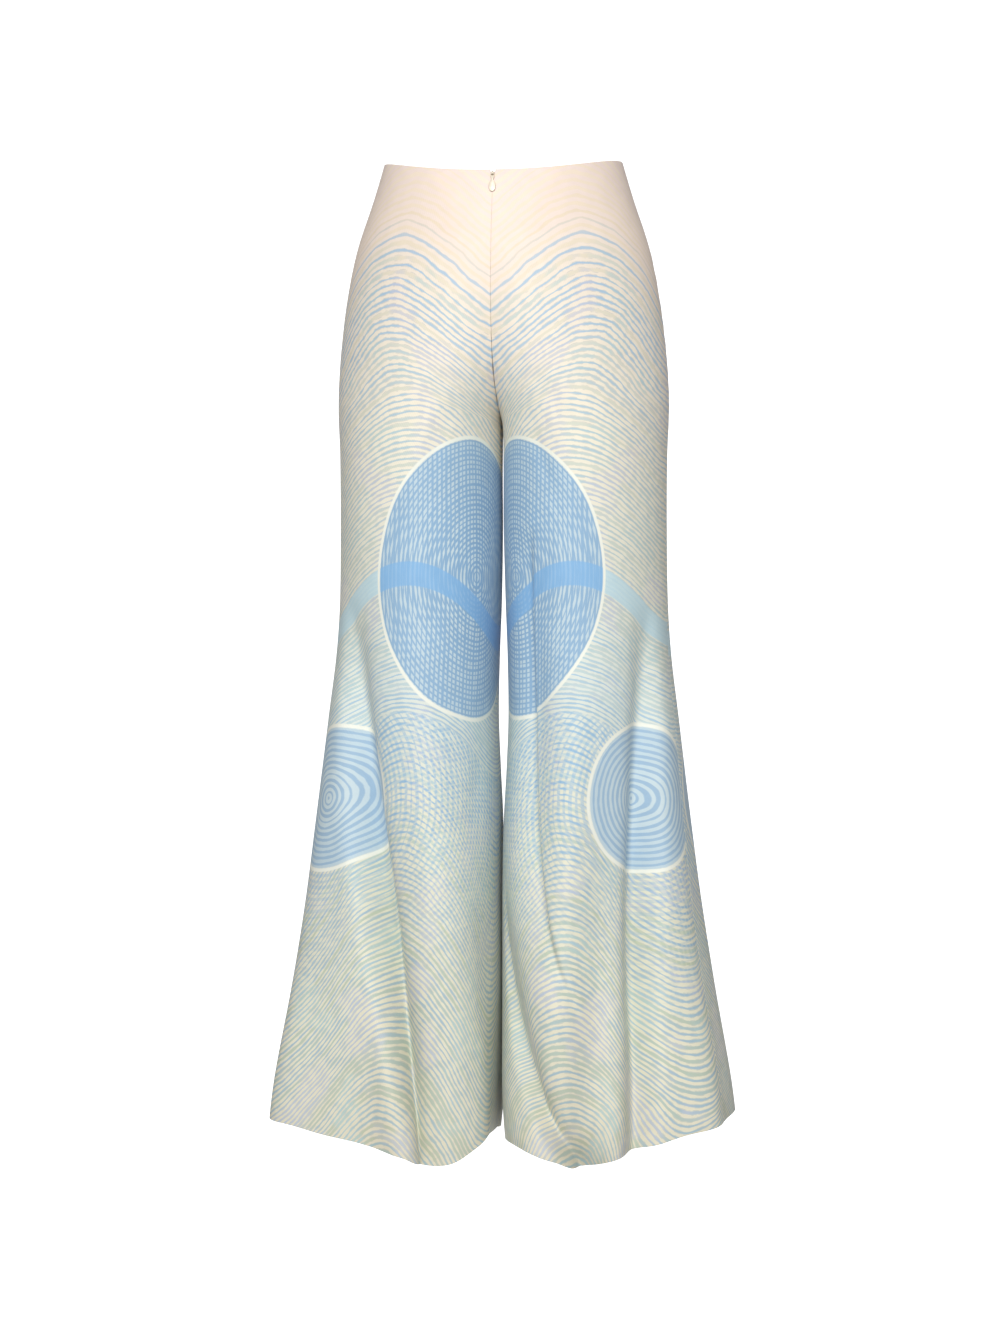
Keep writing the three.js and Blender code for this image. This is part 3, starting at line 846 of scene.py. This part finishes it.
def printed_satin(name, settings):
    """Satin printed with waves of fine lines, checked discs and the rings round them."""
    material, tree, shader = new_material(name)
    shared = {"lines": drawn_lines_group(), "rings": ring_distance_group()}
    weave, dye = satin_weave_group(), uneven_dye_group()
    tint = {key: paint(code) for key, code in TINTS.items()}
    place = add_node(tree, "ShaderNodeUVMap", uv_map="cloth").outputs[0]
    parts = add_node(tree, "ShaderNodeSeparateXYZ", place).outputs
    across, down = parts[0], parts[1]
    pitch = settings.pitch

    turn = times(tree, across, 2 * math.pi / settings.wavelength)
    wave = times(tree, maths(tree, "COSINE", turn), settings.rise)
    level = plus(tree, down, wave)
    share = over(tree, level, PRINT_LENGTH)
    ground, ink, second = [
        colour_ramp(tree, share, stops) for stops in (GROUNDS, INKS, SECOND_INKS)]

    closing = plus(tree, 1.0, times(tree, level, settings.closing))
    upper_phase = times(tree, over(tree, level, pitch), closing)
    upper = use_group(tree, shared["lines"], Phase=upper_phase, Place=place, Width=0.42)
    steeper = plus(tree, level, times(tree, wave, settings.steeper))
    lower_phase = over(tree, steeper, pitch * 0.72)
    lower = use_group(tree, shared["lines"], Phase=lower_phase, Place=place, Width=0.46)
    in_lower = smooth_range(tree, level, settings.lower_start, settings.lower_start + 0.003)
    in_upper = minus(tree, 1.0, in_lower)

    large, large_rings = disc_lines(tree, shared, place, LARGE_DISC, pitch)
    small, small_rings = disc_lines(tree, shared, place, SMALL_DISC, pitch)
    _, low_rings = disc_lines(tree, shared, place, LOW_RINGS, pitch)
    upright_phase = over(tree, across, pitch * LARGE_DISC["pitch"])
    upright = use_group(tree, shared["lines"], Phase=upright_phase, Place=place, Width=0.44,
                        Waver=LARGE_DISC["waver"])[0]

    own_ink = mix_colours(tree, smooth_range(tree, upper[1], 0.35, 0.75), ink, second)
    low_ink = mix_colours(tree, smooth_range(tree, lower[1], 0.45, 0.8), ink, second)
    tinge = noise(tree, place, 16.0, 2.0, "2D")
    coloured = smooth_range(tree, level, *COLOURED)
    lilac = times(tree, smooth_range(tree, tinge, 0.53, 0.68), coloured)
    aqua = times(tree, smooth_range(tree, tinge, 0.45, 0.32), coloured)
    pencilled = times(tree, coloured, settings.pencil)
    colour = ground
    for lines, zone, drawn in ((upper, in_upper, own_ink), (lower, in_lower, low_ink)):
        drawn = mix_colours(tree, times(tree, lilac, 0.6), drawn, tint["lilac"])
        drawn = mix_colours(tree, times(tree, aqua, 0.6), drawn, tint["aqua"])
        inked = times(tree, lines[0], zone, settings.ink)
        colour = mix_colours(tree, inked, colour, drawn)
        beside = times(tree, lines[2], zone, pencilled)
        colour = mix_colours(tree, beside, colour, tint["pencil"])
    fading = times(tree, in_lower, smooth_range(tree, level, *CROSSING_FADE))
    for rings, strength, drawn in ((small_rings, 0.55, ink), (low_rings, 0.42, ground)):
        colour = mix_colours(tree, times(tree, rings, fading, strength), colour, drawn)

    starts, ends = [smooth_range(tree, level, edge, edge + SOFT_EDGE) for edge in RIBBON]
    ribbon = minus(tree, starts, ends)
    colour = mix_colours(tree, times(tree, ribbon, 0.85), colour, tint["ribbon"])

    checks = maths(tree, "MAXIMUM", large_rings, upright)
    for distance, disc, lines, strength in (
            (large, LARGE_DISC, checks, 1.0), (small, SMALL_DISC, small_rings, 0.75)):
        radius = disc["radius"]
        inside_disc = smooth_range(tree, distance, radius, radius - SOFT_EDGE)
        inside_outline = smooth_range(tree, distance, radius + 2 * SOFT_EDGE, radius + SOFT_EDGE)
        outline = minus(tree, inside_outline, inside_disc)
        blue = mix_colours(tree, times(tree, lines, strength), tint["disc"], tint["check"])
        deep = smooth_range(tree, distance, radius * 0.25, radius)
        blue = mix_colours(tree, times(tree, deep, 0.25), blue, tint["deep"])
        colour = mix_colours(tree, inside_disc, colour, blue)
        colour = mix_colours(tree, outline, colour, tint["outline"])
    in_large = smooth_range(tree, large, LARGE_DISC["radius"], LARGE_DISC["radius"] - SOFT_EDGE)
    colour = mix_colours(tree, times(tree, ribbon, in_large, 0.8), colour, tint["crossed"])

    strength = use_group(tree, dye, Place=place, Amount=0.14)[0]
    grey = add_node(tree, "ShaderNodeCombineColor", strength, strength, strength).outputs[0]
    dyed = mix_colours(tree, 1.0, colour, grey, "MULTIPLY")
    inside = add_node(tree, "ShaderNodeAttribute", attribute_name="inside").outputs["Fac"]
    pale = mix_colours(tree, times(tree, inside, 0.45), dyed, tint["wrong side"])
    woven = use_group(tree, weave, Place=place)
    base = plus(tree, settings.roughness - 0.07, times(tree, inside, 0.25))
    roughness = plus(tree, times(tree, woven["Streak"], 0.14), base)
    feed_named(tree, shader.inputs, {
        "Base Color": pale, "Roughness": roughness,
        "Normal": bumps(tree, woven["Height"], 0.25, 0.0002), "Sheen Weight": settings.sheen,
        "Sheen Roughness": 0.45, "Specular IOR Level": 0.32})
    return material


def woven_material(name, code, roughness, threads):
    """Plain tape or thread of one colour, lightly ribbed along the piece's own X and Z. The tape's
    colour holds some painted shade.
    """
    material, tree, shader = new_material(name)
    place = add_node(tree, "ShaderNodeTexCoord").outputs["Object"]
    parts = add_node(tree, "ShaderNodeSeparateXYZ", place).outputs
    ribs = maths(tree, "SINE", times(tree, parts[2], threads))
    cords = maths(tree, "SINE", times(tree, parts[0], threads * 1.3))
    fuzz = noise(tree, place, 400.0, 3.0)
    height = plus(tree, times(tree, ribs, cords), fuzz)
    darker = [c * 0.86 for c in paint(code)[:3]] + [1.0]
    feed_named(tree, shader.inputs, {
        "Base Color": mix_colours(tree, fuzz, paint(code), darker), "Roughness": roughness,
        "Normal": bumps(tree, height, 0.4, 0.0002), "Sheen Weight": 0.2})
    return material


def enamel_material(name):
    """Cream paint on small cast metal: slightly orange-peeled, worn at random to a duller patch."""
    material, tree, shader = new_material(name)
    place = add_node(tree, "ShaderNodeTexCoord").outputs["Object"]
    peel = noise(tree, place, 900.0, 2.0)
    wear = noise(tree, place, 260.0, 4.0)
    feed_named(tree, shader.inputs, {
        "Base Color": mix_colours(tree, wear, paint("E6DBCA"), paint("D3C6B1")),
        "Roughness": plus(tree, times(tree, wear, 0.2), 0.36),
        "Normal": bumps(tree, peel, 0.12, 0.0001), "Metallic": 0.25})
    return material


# What follows a path

THREADS_GROUP = "Threads on a path"


def path_group():
    """Bent threads of one shape set along a path at an even pitch. X runs along it, Z out of it."""
    tree = bpy.data.node_groups.new(THREADS_GROUP, "GeometryNodeTree")
    sockets = [("Geometry", "NodeSocketGeometry"), ("Pitch", FLOAT), ("Start", VECTOR),
               ("Middle", VECTOR), ("End", VECTOR), ("Radius", FLOAT), ("Lean", FLOAT),
               ("Seed", "NodeSocketInt"), ("Material", "NodeSocketMaterial")]
    for label, kind in sockets:
        tree.interface.new_socket(label, in_out="INPUT", socket_type=kind)
    tree.interface.new_socket("Geometry", in_out="OUTPUT", socket_type="NodeSocketGeometry")
    given = tree.nodes.new("NodeGroupInput").outputs
    result = tree.nodes.new("NodeGroupOutput").inputs

    def fed(kind, values, **settings):
        """The outputs of a new node whose named inputs are linked or filled."""
        made = add_node(tree, kind, **settings)
        feed_named(tree, made.inputs, values)
        return made.outputs

    path = fed("GeometryNodeMeshToCurve", {"Mesh": given["Geometry"]})
    spaced = fed("GeometryNodeResampleCurve", {"Curve": path["Curve"], "Length": given["Pitch"]},
                 mode="LENGTH")
    bend = fed("GeometryNodeCurveQuadraticBezier", {
        "Resolution": 6, **{name: given[name] for name in ("Start", "Middle", "End")}})
    circle = fed("GeometryNodeCurvePrimitiveCircle", {
        "Resolution": 6, "Radius": given["Radius"]})
    thread = fed("GeometryNodeCurveToMesh", {
        "Curve": bend["Curve"], "Profile Curve": circle["Curve"], "Fill Caps": True})

    tangent = fed("GeometryNodeInputTangent", {})
    outward = fed("GeometryNodeInputNamedAttribute", {"Name": "outward"},
                  data_type="FLOAT_VECTOR")
    ahead = fed("FunctionNodeAlignRotationToVector", {"Vector": tangent["Tangent"]}, axis="X")
    upright = fed("FunctionNodeAlignRotationToVector", {
        "Rotation": ahead["Rotation"], "Vector": outward["Attribute"]}, axis="Z", pivot_axis="X")
    chance = fed("FunctionNodeRandomValue", {"Seed": given["Seed"]}, data_type="FLOAT")
    drawn = next(socket for socket in chance if socket.enabled)
    angles = fed("ShaderNodeCombineXYZ", {"Z": centred(tree, drawn, 0.5, given["Lean"])})
    as_turn = fed("FunctionNodeEulerToRotation", {"Euler": angles[0]})
    leaned = fed("FunctionNodeRotateRotation", {
        "Rotation": upright["Rotation"], "Rotate By": as_turn["Rotation"]},
        rotation_space="LOCAL")

    placed = fed("GeometryNodeInstanceOnPoints", {
        "Points": spaced["Curve"], "Instance": thread["Mesh"], "Rotation": leaned["Rotation"]})
    real = fed("GeometryNodeRealizeInstances", {"Geometry": placed["Instances"]})
    coated = fed("GeometryNodeSetMaterial", {
        "Geometry": real["Geometry"], "Material": given["Material"]})
    feed(tree, result["Geometry"], coated["Geometry"])
    return tree


def threads_along(name, paths, material, pitch, start, middle, end, radius, lean, seed):
    """A plain mesh of threads along paths, each a pair of point and outward arrays in mm."""
    points = np.concatenate([p for p, _ in paths]) * MM
    outward = np.concatenate([o for _, o in paths])
    edges, first = [], 0
    for path, _ in paths:
        edges += [(i, i + 1) for i in range(first, first + len(path) - 1)]
        first += len(path)
    mesh = bpy.data.meshes.new(name + "_path")
    mesh.from_pydata(points, edges, [])
    values = mesh.attributes.new("outward", "FLOAT_VECTOR", "POINT").data
    values.foreach_set("vector", outward.astype(np.float32).ravel())
    guide = add_object(name + "_path", mesh)
    tree = bpy.data.node_groups.get(THREADS_GROUP) or path_group()
    modifier = guide.modifiers.new("Threads", "NODES")
    modifier.node_group = tree
    values = {"Pitch": pitch * MM, "Start": [v * MM for v in start],
              "Middle": [v * MM for v in middle], "End": [v * MM for v in end],
              "Radius": radius * MM, "Lean": lean, "Seed": seed, "Material": material}
    for item in tree.interface.items_tree:
        if item.in_out == "INPUT" and item.name in values:
            modifier[item.identifier] = values[item.name]
    made = plain_copy(guide, name)
    if not made.data.materials:
        made.data.materials.append(material)
    return made


def sunk_path(leg, drop, turn, depth):
    """A path at some places on a leg, a depth below its outer face, and the way into the leg."""
    strength = bpy.context.scene.trouser_cloth.crease_strength
    points, outward = surface_at(leg, drop, turn, strength)
    side = [SIDES[leg], 1, 1]
    return (points - outward * depth).reshape(-1, 3) * side, -outward.reshape(-1, 3) * side


def line_on_panel(leg, facing, along, distance, depth, from_side=False):
    """A path inside a panel, at a distance from its inner edge or its side. Along holds the
    seat and leg shares of its points."""
    survey, _, _, lengths = survey_rows(leg, facing, *along)
    target = lengths[:, -1] - distance if from_side else np.full(len(lengths), float(distance))
    across = np.array([[np.interp(t, row, survey)] for t, row in zip(target, lengths)])
    drop, turn = panel_places(leg, facing, *along, across)
    return sunk_path(leg, drop, turn, depth)


def hem_line(leg, facing, from_edge, depth):
    """A path inside a panel, level with its hem."""
    lowest = np.ones((1, 1))
    across = np.linspace(0.01, 0.99, 90)[None, :]
    drop, turn = panel_places(leg, facing, lowest, lowest, across)
    return sunk_path(leg, drop - from_edge, turn, depth)


def cad_copy(node, name, material, bevel):
    """A smoothed copy of one of the solid model's nodes, its edges rounded."""
    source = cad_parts[node]
    mesh = source.data.copy()
    mesh.transform(source.matrix_world)
    work = bmesh.new()
    work.from_mesh(mesh)
    bmesh.ops.remove_doubles(work, verts=work.verts, dist=1e-6)
    bmesh.ops.dissolve_limit(work, angle_limit=math.radians(FLAT_BELOW), verts=work.verts,
                             edges=work.edges)
    work.to_mesh(mesh)
    work.free()
    mesh.materials.clear()
    mesh.materials.append(material)
    rough = add_object(name + "_rough", mesh)
    rounding = rough.modifiers.new("Rounding", "BEVEL")
    rounding.width = bevel * MM
    rounding.segments = 3
    rounding.limit_method = "ANGLE"
    rounding.angle_limit = math.radians(ROUNDED_ABOVE)
    made = plain_copy(rough, name)
    made.data.set_sharp_from_angle(angle=math.radians(SHARP_ABOVE))
    return made


# Settings

class ClothSettings(bpy.types.PropertyGroup):
    """How the cloth is made and how it lies."""
    thickness: FloatProperty(
        name="Thickness", description="One layer of cloth, in millimetres", default=0.55, min=0.2)
    allowance: FloatProperty(
        name="Seam allowance", description="Width turned in at a seam, in millimetres",
        default=12.0, min=4.0)
    hem: FloatProperty(
        name="Hem allowance", description="Width turned up at the hem, in millimetres",
        default=14.3, min=4.0)
    crease_strength: FloatProperty(
        name="Creases", description="Strength of the soft creases", default=1.0, min=0.0)
    pucker_strength: FloatProperty(
        name="Puckers", description="Height of the puckers at the seams, in millimetres",
        default=0.28, min=0.0)


class PrintSettings(bpy.types.PropertyGroup):
    """The print of waves and how the satin shines."""
    wavelength: FloatProperty(
        name="Wavelength", description="Width of one wave of the print", default=0.31,
        subtype="DISTANCE", unit="LENGTH")
    rise: FloatProperty(
        name="Rise", description="Height of the waves", default=0.032,
        subtype="DISTANCE", unit="LENGTH")
    pitch: FloatProperty(
        name="Pitch", description="Distance from line to line", default=0.0094,
        subtype="DISTANCE", unit="LENGTH")
    closing: FloatProperty(
        name="Closing", description="How much closer the upper lines lie with each metre down",
        default=0.75)
    ink: FloatProperty(
        name="Ink", description="Strength of the printed lines", default=0.88, min=0.0, max=1.0)
    pencil: FloatProperty(
        name="Pencil", description="Strength of the thin lines beside them", default=0.4,
        min=0.0, max=1.0)
    steeper: FloatProperty(
        name="Steeper", description="How much higher the waves rise on the lower legs",
        default=1.0)
    lower_start: FloatProperty(
        name="Lower part", description="How far down the crossed lines start", default=0.63,
        subtype="DISTANCE", unit="LENGTH")
    roughness: FloatProperty(
        name="Roughness", description="Roughness of the satin", default=0.6, min=0.0, max=1.0)
    sheen: FloatProperty(
        name="Sheen", description="Strength of the satin's soft sheen", default=0.1, min=0.0,
        max=1.0)


class ZipSettings(bpy.types.PropertyGroup):
    """The hidden zip."""
    tape_width: FloatProperty(
        name="Tape width", description="Width of one tape, in millimetres", default=10.0)
    length_share: FloatProperty(
        name="Length", description="Length of the zip as a share of the seat", default=0.4167)
    tooth_pitch: FloatProperty(
        name="Tooth pitch", description="Distance from tooth to tooth, in millimetres",
        default=1.1)


class StageSettings(bpy.types.PropertyGroup):
    """The camera, the lights and the floor."""
    azimuth: FloatProperty(
        name="Azimuth", description="How far the camera stands round to the side, in degrees",
        default=6.5)
    distance: FloatProperty(
        name="Distance", description="From the camera to the trousers", default=4.0,
        subtype="DISTANCE", unit="LENGTH")
    height: FloatProperty(
        name="Height", description="Height of the camera", default=-0.552,
        subtype="DISTANCE", unit="LENGTH")
    shift: FloatProperty(
        name="Sideways", description="How far right of the trousers' axis the camera looks",
        default=-0.0038, subtype="DISTANCE", unit="LENGTH")
    lens: FloatProperty(
        name="Lens", description="Focal length, in millimetres", default=98.3)
    floor_drop: FloatProperty(
        name="Floor", description="How far below the waist the floor is", default=2.3,
        subtype="DISTANCE", unit="LENGTH")
    main_power: FloatProperty(
        name="Main light", description="Power of the main light, in watts", default=112.0)
    second_share: FloatProperty(
        name="Second light", description="Power of the second light as a share of the main one",
        default=0.62)
    room_strength: FloatProperty(
        name="Room light", description="Strength of the even light of the room", default=0.3)
    screen_strength: FloatProperty(
        name="Screen", description="Strength of the lit screen behind", default=0.9)
    floor_colour: FloatVectorProperty(
        name="Floor colour", description="Colour of the floor", size=3, subtype="COLOR",
        default=(0.86, 0.86, 0.86))


# Pieces

class TROUSERS_OT_panels(bpy.types.Operator):
    """Make the four cloth panels, as thin shells with turned-in seams, waist and hem"""
    bl_idname = "trousers.panels"
    bl_label = "Panels"

    def execute(self, context):
        cloth = context.scene.trouser_cloth
        material = shared_material("Printed satin", printed_satin, context.scene.trouser_print)
        for leg in SIDES:
            for facing in FACINGS:
                self.make_panel(cloth, leg, facing, material)
        return {"FINISHED"}

    def make_panel(self, cloth, leg, facing, material):
        grid = panel_grid(leg, facing, cloth.crease_strength)
        heights = pucker_heights(leg, facing, grid, cloth.pucker_strength)
        grid["points"] = grid["points"] + grid["outward"] * heights[..., None]
        grid["points"][..., 0] = np.maximum(grid["points"][..., 0], HALF_GAP)
        edges = grid["edges"]
        groove = sum(depth * np.exp(-(edges[edge] / GROOVE_WIDTH) ** 2)
                     for edge, depth in SEAM_GROOVES.items())
        rim = np.maximum(rim_depth(edges["waist"], RIM_RADIUS), rim_depth(edges["hem"], RIM_RADIUS))
        outer = np.maximum(groove, rim)
        turned_in = np.maximum.reduce([
            step_down(distance, cloth.hem if edge == "hem" else cloth.allowance)
            for edge, distance in edges.items()])
        inner = cloth.thickness * (1 + TURNED_LAYER * turned_in) + SLACK - rim * RIM_THINNING
        inner = np.maximum(inner, outer + THINNEST)
        panel = cloth_shell(f"{facing}_{leg}_cloth", leg, facing, grid, (outer, inner), material)
        lay_print(panel, grid)
        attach(panel, GARMENT)
        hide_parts(f"{facing}_{leg}")


class TROUSERS_OT_zip_tapes(bpy.types.Operator):
    """Make the two tapes of the zip and the coil of teeth on each"""
    bl_idname = "trousers.zip_tapes"
    bl_label = "Zip tapes and teeth"

    def execute(self, context):
        settings = context.scene.trouser_zip
        # The tape's grey-beige is partly its own colour and partly painted shade: it is darker so
        # that the closed zip's seam shows as a dark line.
        material = shared_material("Zip tape", woven_material, "CDC1B2", 0.8, 5200.0)
        coil = shared_material("Coil", woven_material, "B9AC9C", 0.45, 900.0)
        splay = seat_shares(ZIP_TOP)
        seat_share = np.concatenate((splay, np.linspace(splay[-1], settings.length_share, 60)[1:]))
        along = (seat_share[:, None], np.zeros((len(seat_share), 1)))
        columns = np.linspace(0, settings.tape_width, 9)
        for leg in SIDES:
            walls = [np.stack([line_on_panel(leg, "back", along, c, sunk)[0] for c in columns], 1)
                     for sunk in TAPE_DEPTHS]
            tape = add_shell(f"zip_tape_{leg}_cloth", leg, "back", walls, material)
            tape.data.set_sharp_from_angle(angle=math.radians(50))
            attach(tape, GARMENT)
            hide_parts(f"zip_tape_{leg}")
            paths = []
            for toothed in (seat_share < splay[TEETH_STOP_ROW],
                            seat_share > splay[TEETH_RESUME_ROW] * TEETH_RESUME_AT):
                part = [share[toothed] for share in along]
                paths.append(line_on_panel(leg, "back", part, TEETH_INSET, TEETH_DEPTH))
            teeth = threads_along(
                f"zip_coil_{leg}", paths, coil, pitch=settings.tooth_pitch, **COIL)
            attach(teeth, GARMENT)
        return {"FINISHED"}


class TROUSERS_OT_zip_slider(bpy.types.Operator):
    """Make the slider of the zip, with its edges rounded"""
    bl_idname = "trousers.zip_slider"
    bl_label = "Zip slider"

    def execute(self, context):
        material = shared_material("Cream enamel", enamel_material)
        slider = cad_copy("zip_slider", "zip_slider_body", material, 0.22)
        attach(slider, GARMENT)
        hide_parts("zip_slider")
        return {"FINISHED"}


class TROUSERS_OT_zip_pull(bpy.types.Operator):
    """Make the drop-shaped pull of the zip, with its edges rounded"""
    bl_idname = "trousers.zip_pull"
    bl_label = "Zip pull"

    def execute(self, context):
        material = shared_material("Cream enamel", enamel_material)
        pull = cad_copy("zip_pull", "zip_pull_tab", material, 0.3)
        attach(pull, PULL_TAB)
        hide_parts("zip_pull")
        return {"FINISHED"}


class TROUSERS_OT_stitches(bpy.types.Operator):
    """Sew the inside: overlocked seam allowances and the blind-stitched hem"""
    bl_idname = "trousers.stitches"
    bl_label = "Inside stitches"

    def execute(self, context):
        cloth = context.scene.trouser_cloth
        thread = shared_material("Thread", woven_material, "F2EBDD", 0.7, 9000.0)
        seat = np.linspace(0.02, 1, 60)
        lower = np.linspace(0, 0.995, 150)[1:]
        along = (np.concatenate((seat, np.ones(len(lower))))[:, None],
                 np.concatenate((np.zeros(len(seat)), lower))[:, None])
        inside = cloth.thickness * (1 + TURNED_LAYER) + STITCH_DEPTH
        seam, hem = cloth.allowance - SEAM_INSET, cloth.hem - HEM_INSET
        for leg in SIDES:
            edges = [line_on_panel(leg, facing, along, seam, inside, from_side)
                     for facing in FACINGS for from_side in (False, True)]
            hems = [hem_line(leg, facing, hem, inside) for facing in FACINGS]
            for piece in (threads_along(f"overlock_{leg}", edges, thread, **OVERLOCK),
                          threads_along(f"hem_stitches_{leg}", hems, thread, **HEM_STITCH)):
                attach(piece, GARMENT)
        return {"FINISHED"}


class TROUSERS_OT_stage(bpy.types.Operator):
    """Set up the pale floor, the lit screen, the soft lights and the camera"""
    bl_idname = "trousers.stage"
    bl_label = "Stage"

    def execute(self, context):
        settings = context.scene.trouser_stage
        self.make_floor(settings)
        self.make_screen(settings)
        self.make_lights(settings)
        self.make_world(context, settings)
        self.make_camera(context, settings)
        return {"FINISHED"}

    def make_floor(self, settings):
        material, tree, shader = new_material("Pale floor")
        place = add_node(tree, "ShaderNodeTexCoord").outputs["Object"]
        feed_named(tree, shader.inputs, {
            "Base Color": [*settings.floor_colour, 1.0], "Roughness": 0.85,
            "Normal": bumps(tree, noise(tree, place, 60.0, 4.0), 0.05, 0.001)})
        corners = [(x * FLOOR_REACH, y * FLOOR_REACH, -settings.floor_drop)
                   for x, y in ((-1, -1), (1, -1), (1, 1), (-1, 1))]
        return add_mesh("floor", corners, [(0, 1, 2, 3)], material)

    def make_screen(self, settings):
        """A plain screen behind the trousers, lit from behind itself."""
        material, tree, shader = new_material("Lit screen")
        feed_named(tree, shader.inputs, {
            "Base Color": (0.9, 0.9, 0.9, 1.0), "Roughness": 0.9,
            "Emission Color": (1.0, 1.0, 1.0, 1.0),
            "Emission Strength": settings.screen_strength})
        right, ahead = level_axes(settings.azimuth)
        foot = ahead * SCREEN_DISTANCE + [0, 0, -settings.floor_drop]
        top = ahead * SCREEN_DISTANCE + [0, 0, SCREEN_TOP]
        aside = right * SCREEN_REACH
        corners = np.array([foot - aside, foot + aside, top + aside, top - aside])
        return add_mesh("screen", corners, [(0, 1, 2, 3)], material)

    def make_lights(self, settings):
        powers = {"main": settings.main_power,
                  "second": settings.main_power * settings.second_share}
        for name, (place, size, aim) in LIGHTS.items():
            data = bpy.data.lights.new(name, "AREA")
            data.shape = "DISK"
            data.size = size
            data.energy = powers[name]
            lamp = add_object(name, data)
            lamp.location = place
            towards = Vector(aim) - Vector(place)
            lamp.rotation_euler = towards.to_track_quat("-Z", "Y").to_euler()

    def make_world(self, context, settings):
        world = bpy.data.worlds.new("Room")
        world.use_nodes = True
        background = world.node_tree.nodes["Background"]
        background.inputs["Color"].default_value = (1, 1, 1, 1)
        background.inputs["Strength"].default_value = settings.room_strength
        context.scene.world = world
        context.scene.view_settings.view_transform = "Standard"

    def make_camera(self, context, settings):
        data = bpy.data.cameras.new("camera")
        data.lens = settings.lens
        data.sensor_width = 36
        data.clip_end = 100
        camera = add_object("camera", data)
        right, ahead = [Vector(axis) for axis in level_axes(settings.azimuth)]
        camera.location = right * settings.shift - ahead * settings.distance \
            + Vector((0, 0, settings.height))
        camera.rotation_euler = (math.pi / 2, 0, math.radians(settings.azimuth))
        context.scene.camera = camera


class TROUSERS_PT_panel(bpy.types.Panel):
    """The trousers' settings and pieces."""
    bl_idname = "TROUSERS_PT_panel"
    bl_label = "Trousers"
    bl_space_type = "VIEW_3D"
    bl_region_type = "UI"
    bl_category = "Trousers"

    def draw(self, context):
        layout = self.layout
        for name in SETTINGS:
            group = getattr(context.scene, name)
            box = layout.box()
            box.label(text=name.replace("_", " ").capitalize())
            for key in group.bl_rna.properties.keys():
                if key not in ("rna_type", "name"):
                    box.prop(group, key)
        for operator in OPERATORS:
            layout.operator(operator.bl_idname)


SETTINGS = {
    "trouser_cloth": ClothSettings,
    "trouser_print": PrintSettings,
    "trouser_zip": ZipSettings,
    "trouser_stage": StageSettings,
}
OPERATORS = (
    TROUSERS_OT_panels,
    TROUSERS_OT_zip_tapes,
    TROUSERS_OT_zip_slider,
    TROUSERS_OT_zip_pull,
    TROUSERS_OT_stitches,
    TROUSERS_OT_stage,
)


def register():
    for made in (*SETTINGS.values(), *OPERATORS, TROUSERS_PT_panel):
        bpy.utils.register_class(made)
    for name, group in SETTINGS.items():
        setattr(bpy.types.Scene, name, PointerProperty(type=group))


def unregister():
    for name in SETTINGS:
        delattr(bpy.types.Scene, name)
    for made in reversed((*SETTINGS.values(), *OPERATORS, TROUSERS_PT_panel)):
        bpy.utils.unregister_class(made)


def main():
    register()
    bpy.ops.trousers.panels()
    bpy.ops.trousers.zip_tapes()
    bpy.ops.trousers.zip_slider()
    bpy.ops.trousers.zip_pull()
    bpy.ops.trousers.stitches()
    bpy.ops.trousers.stage()


if __name__ == "__main__":
    main()
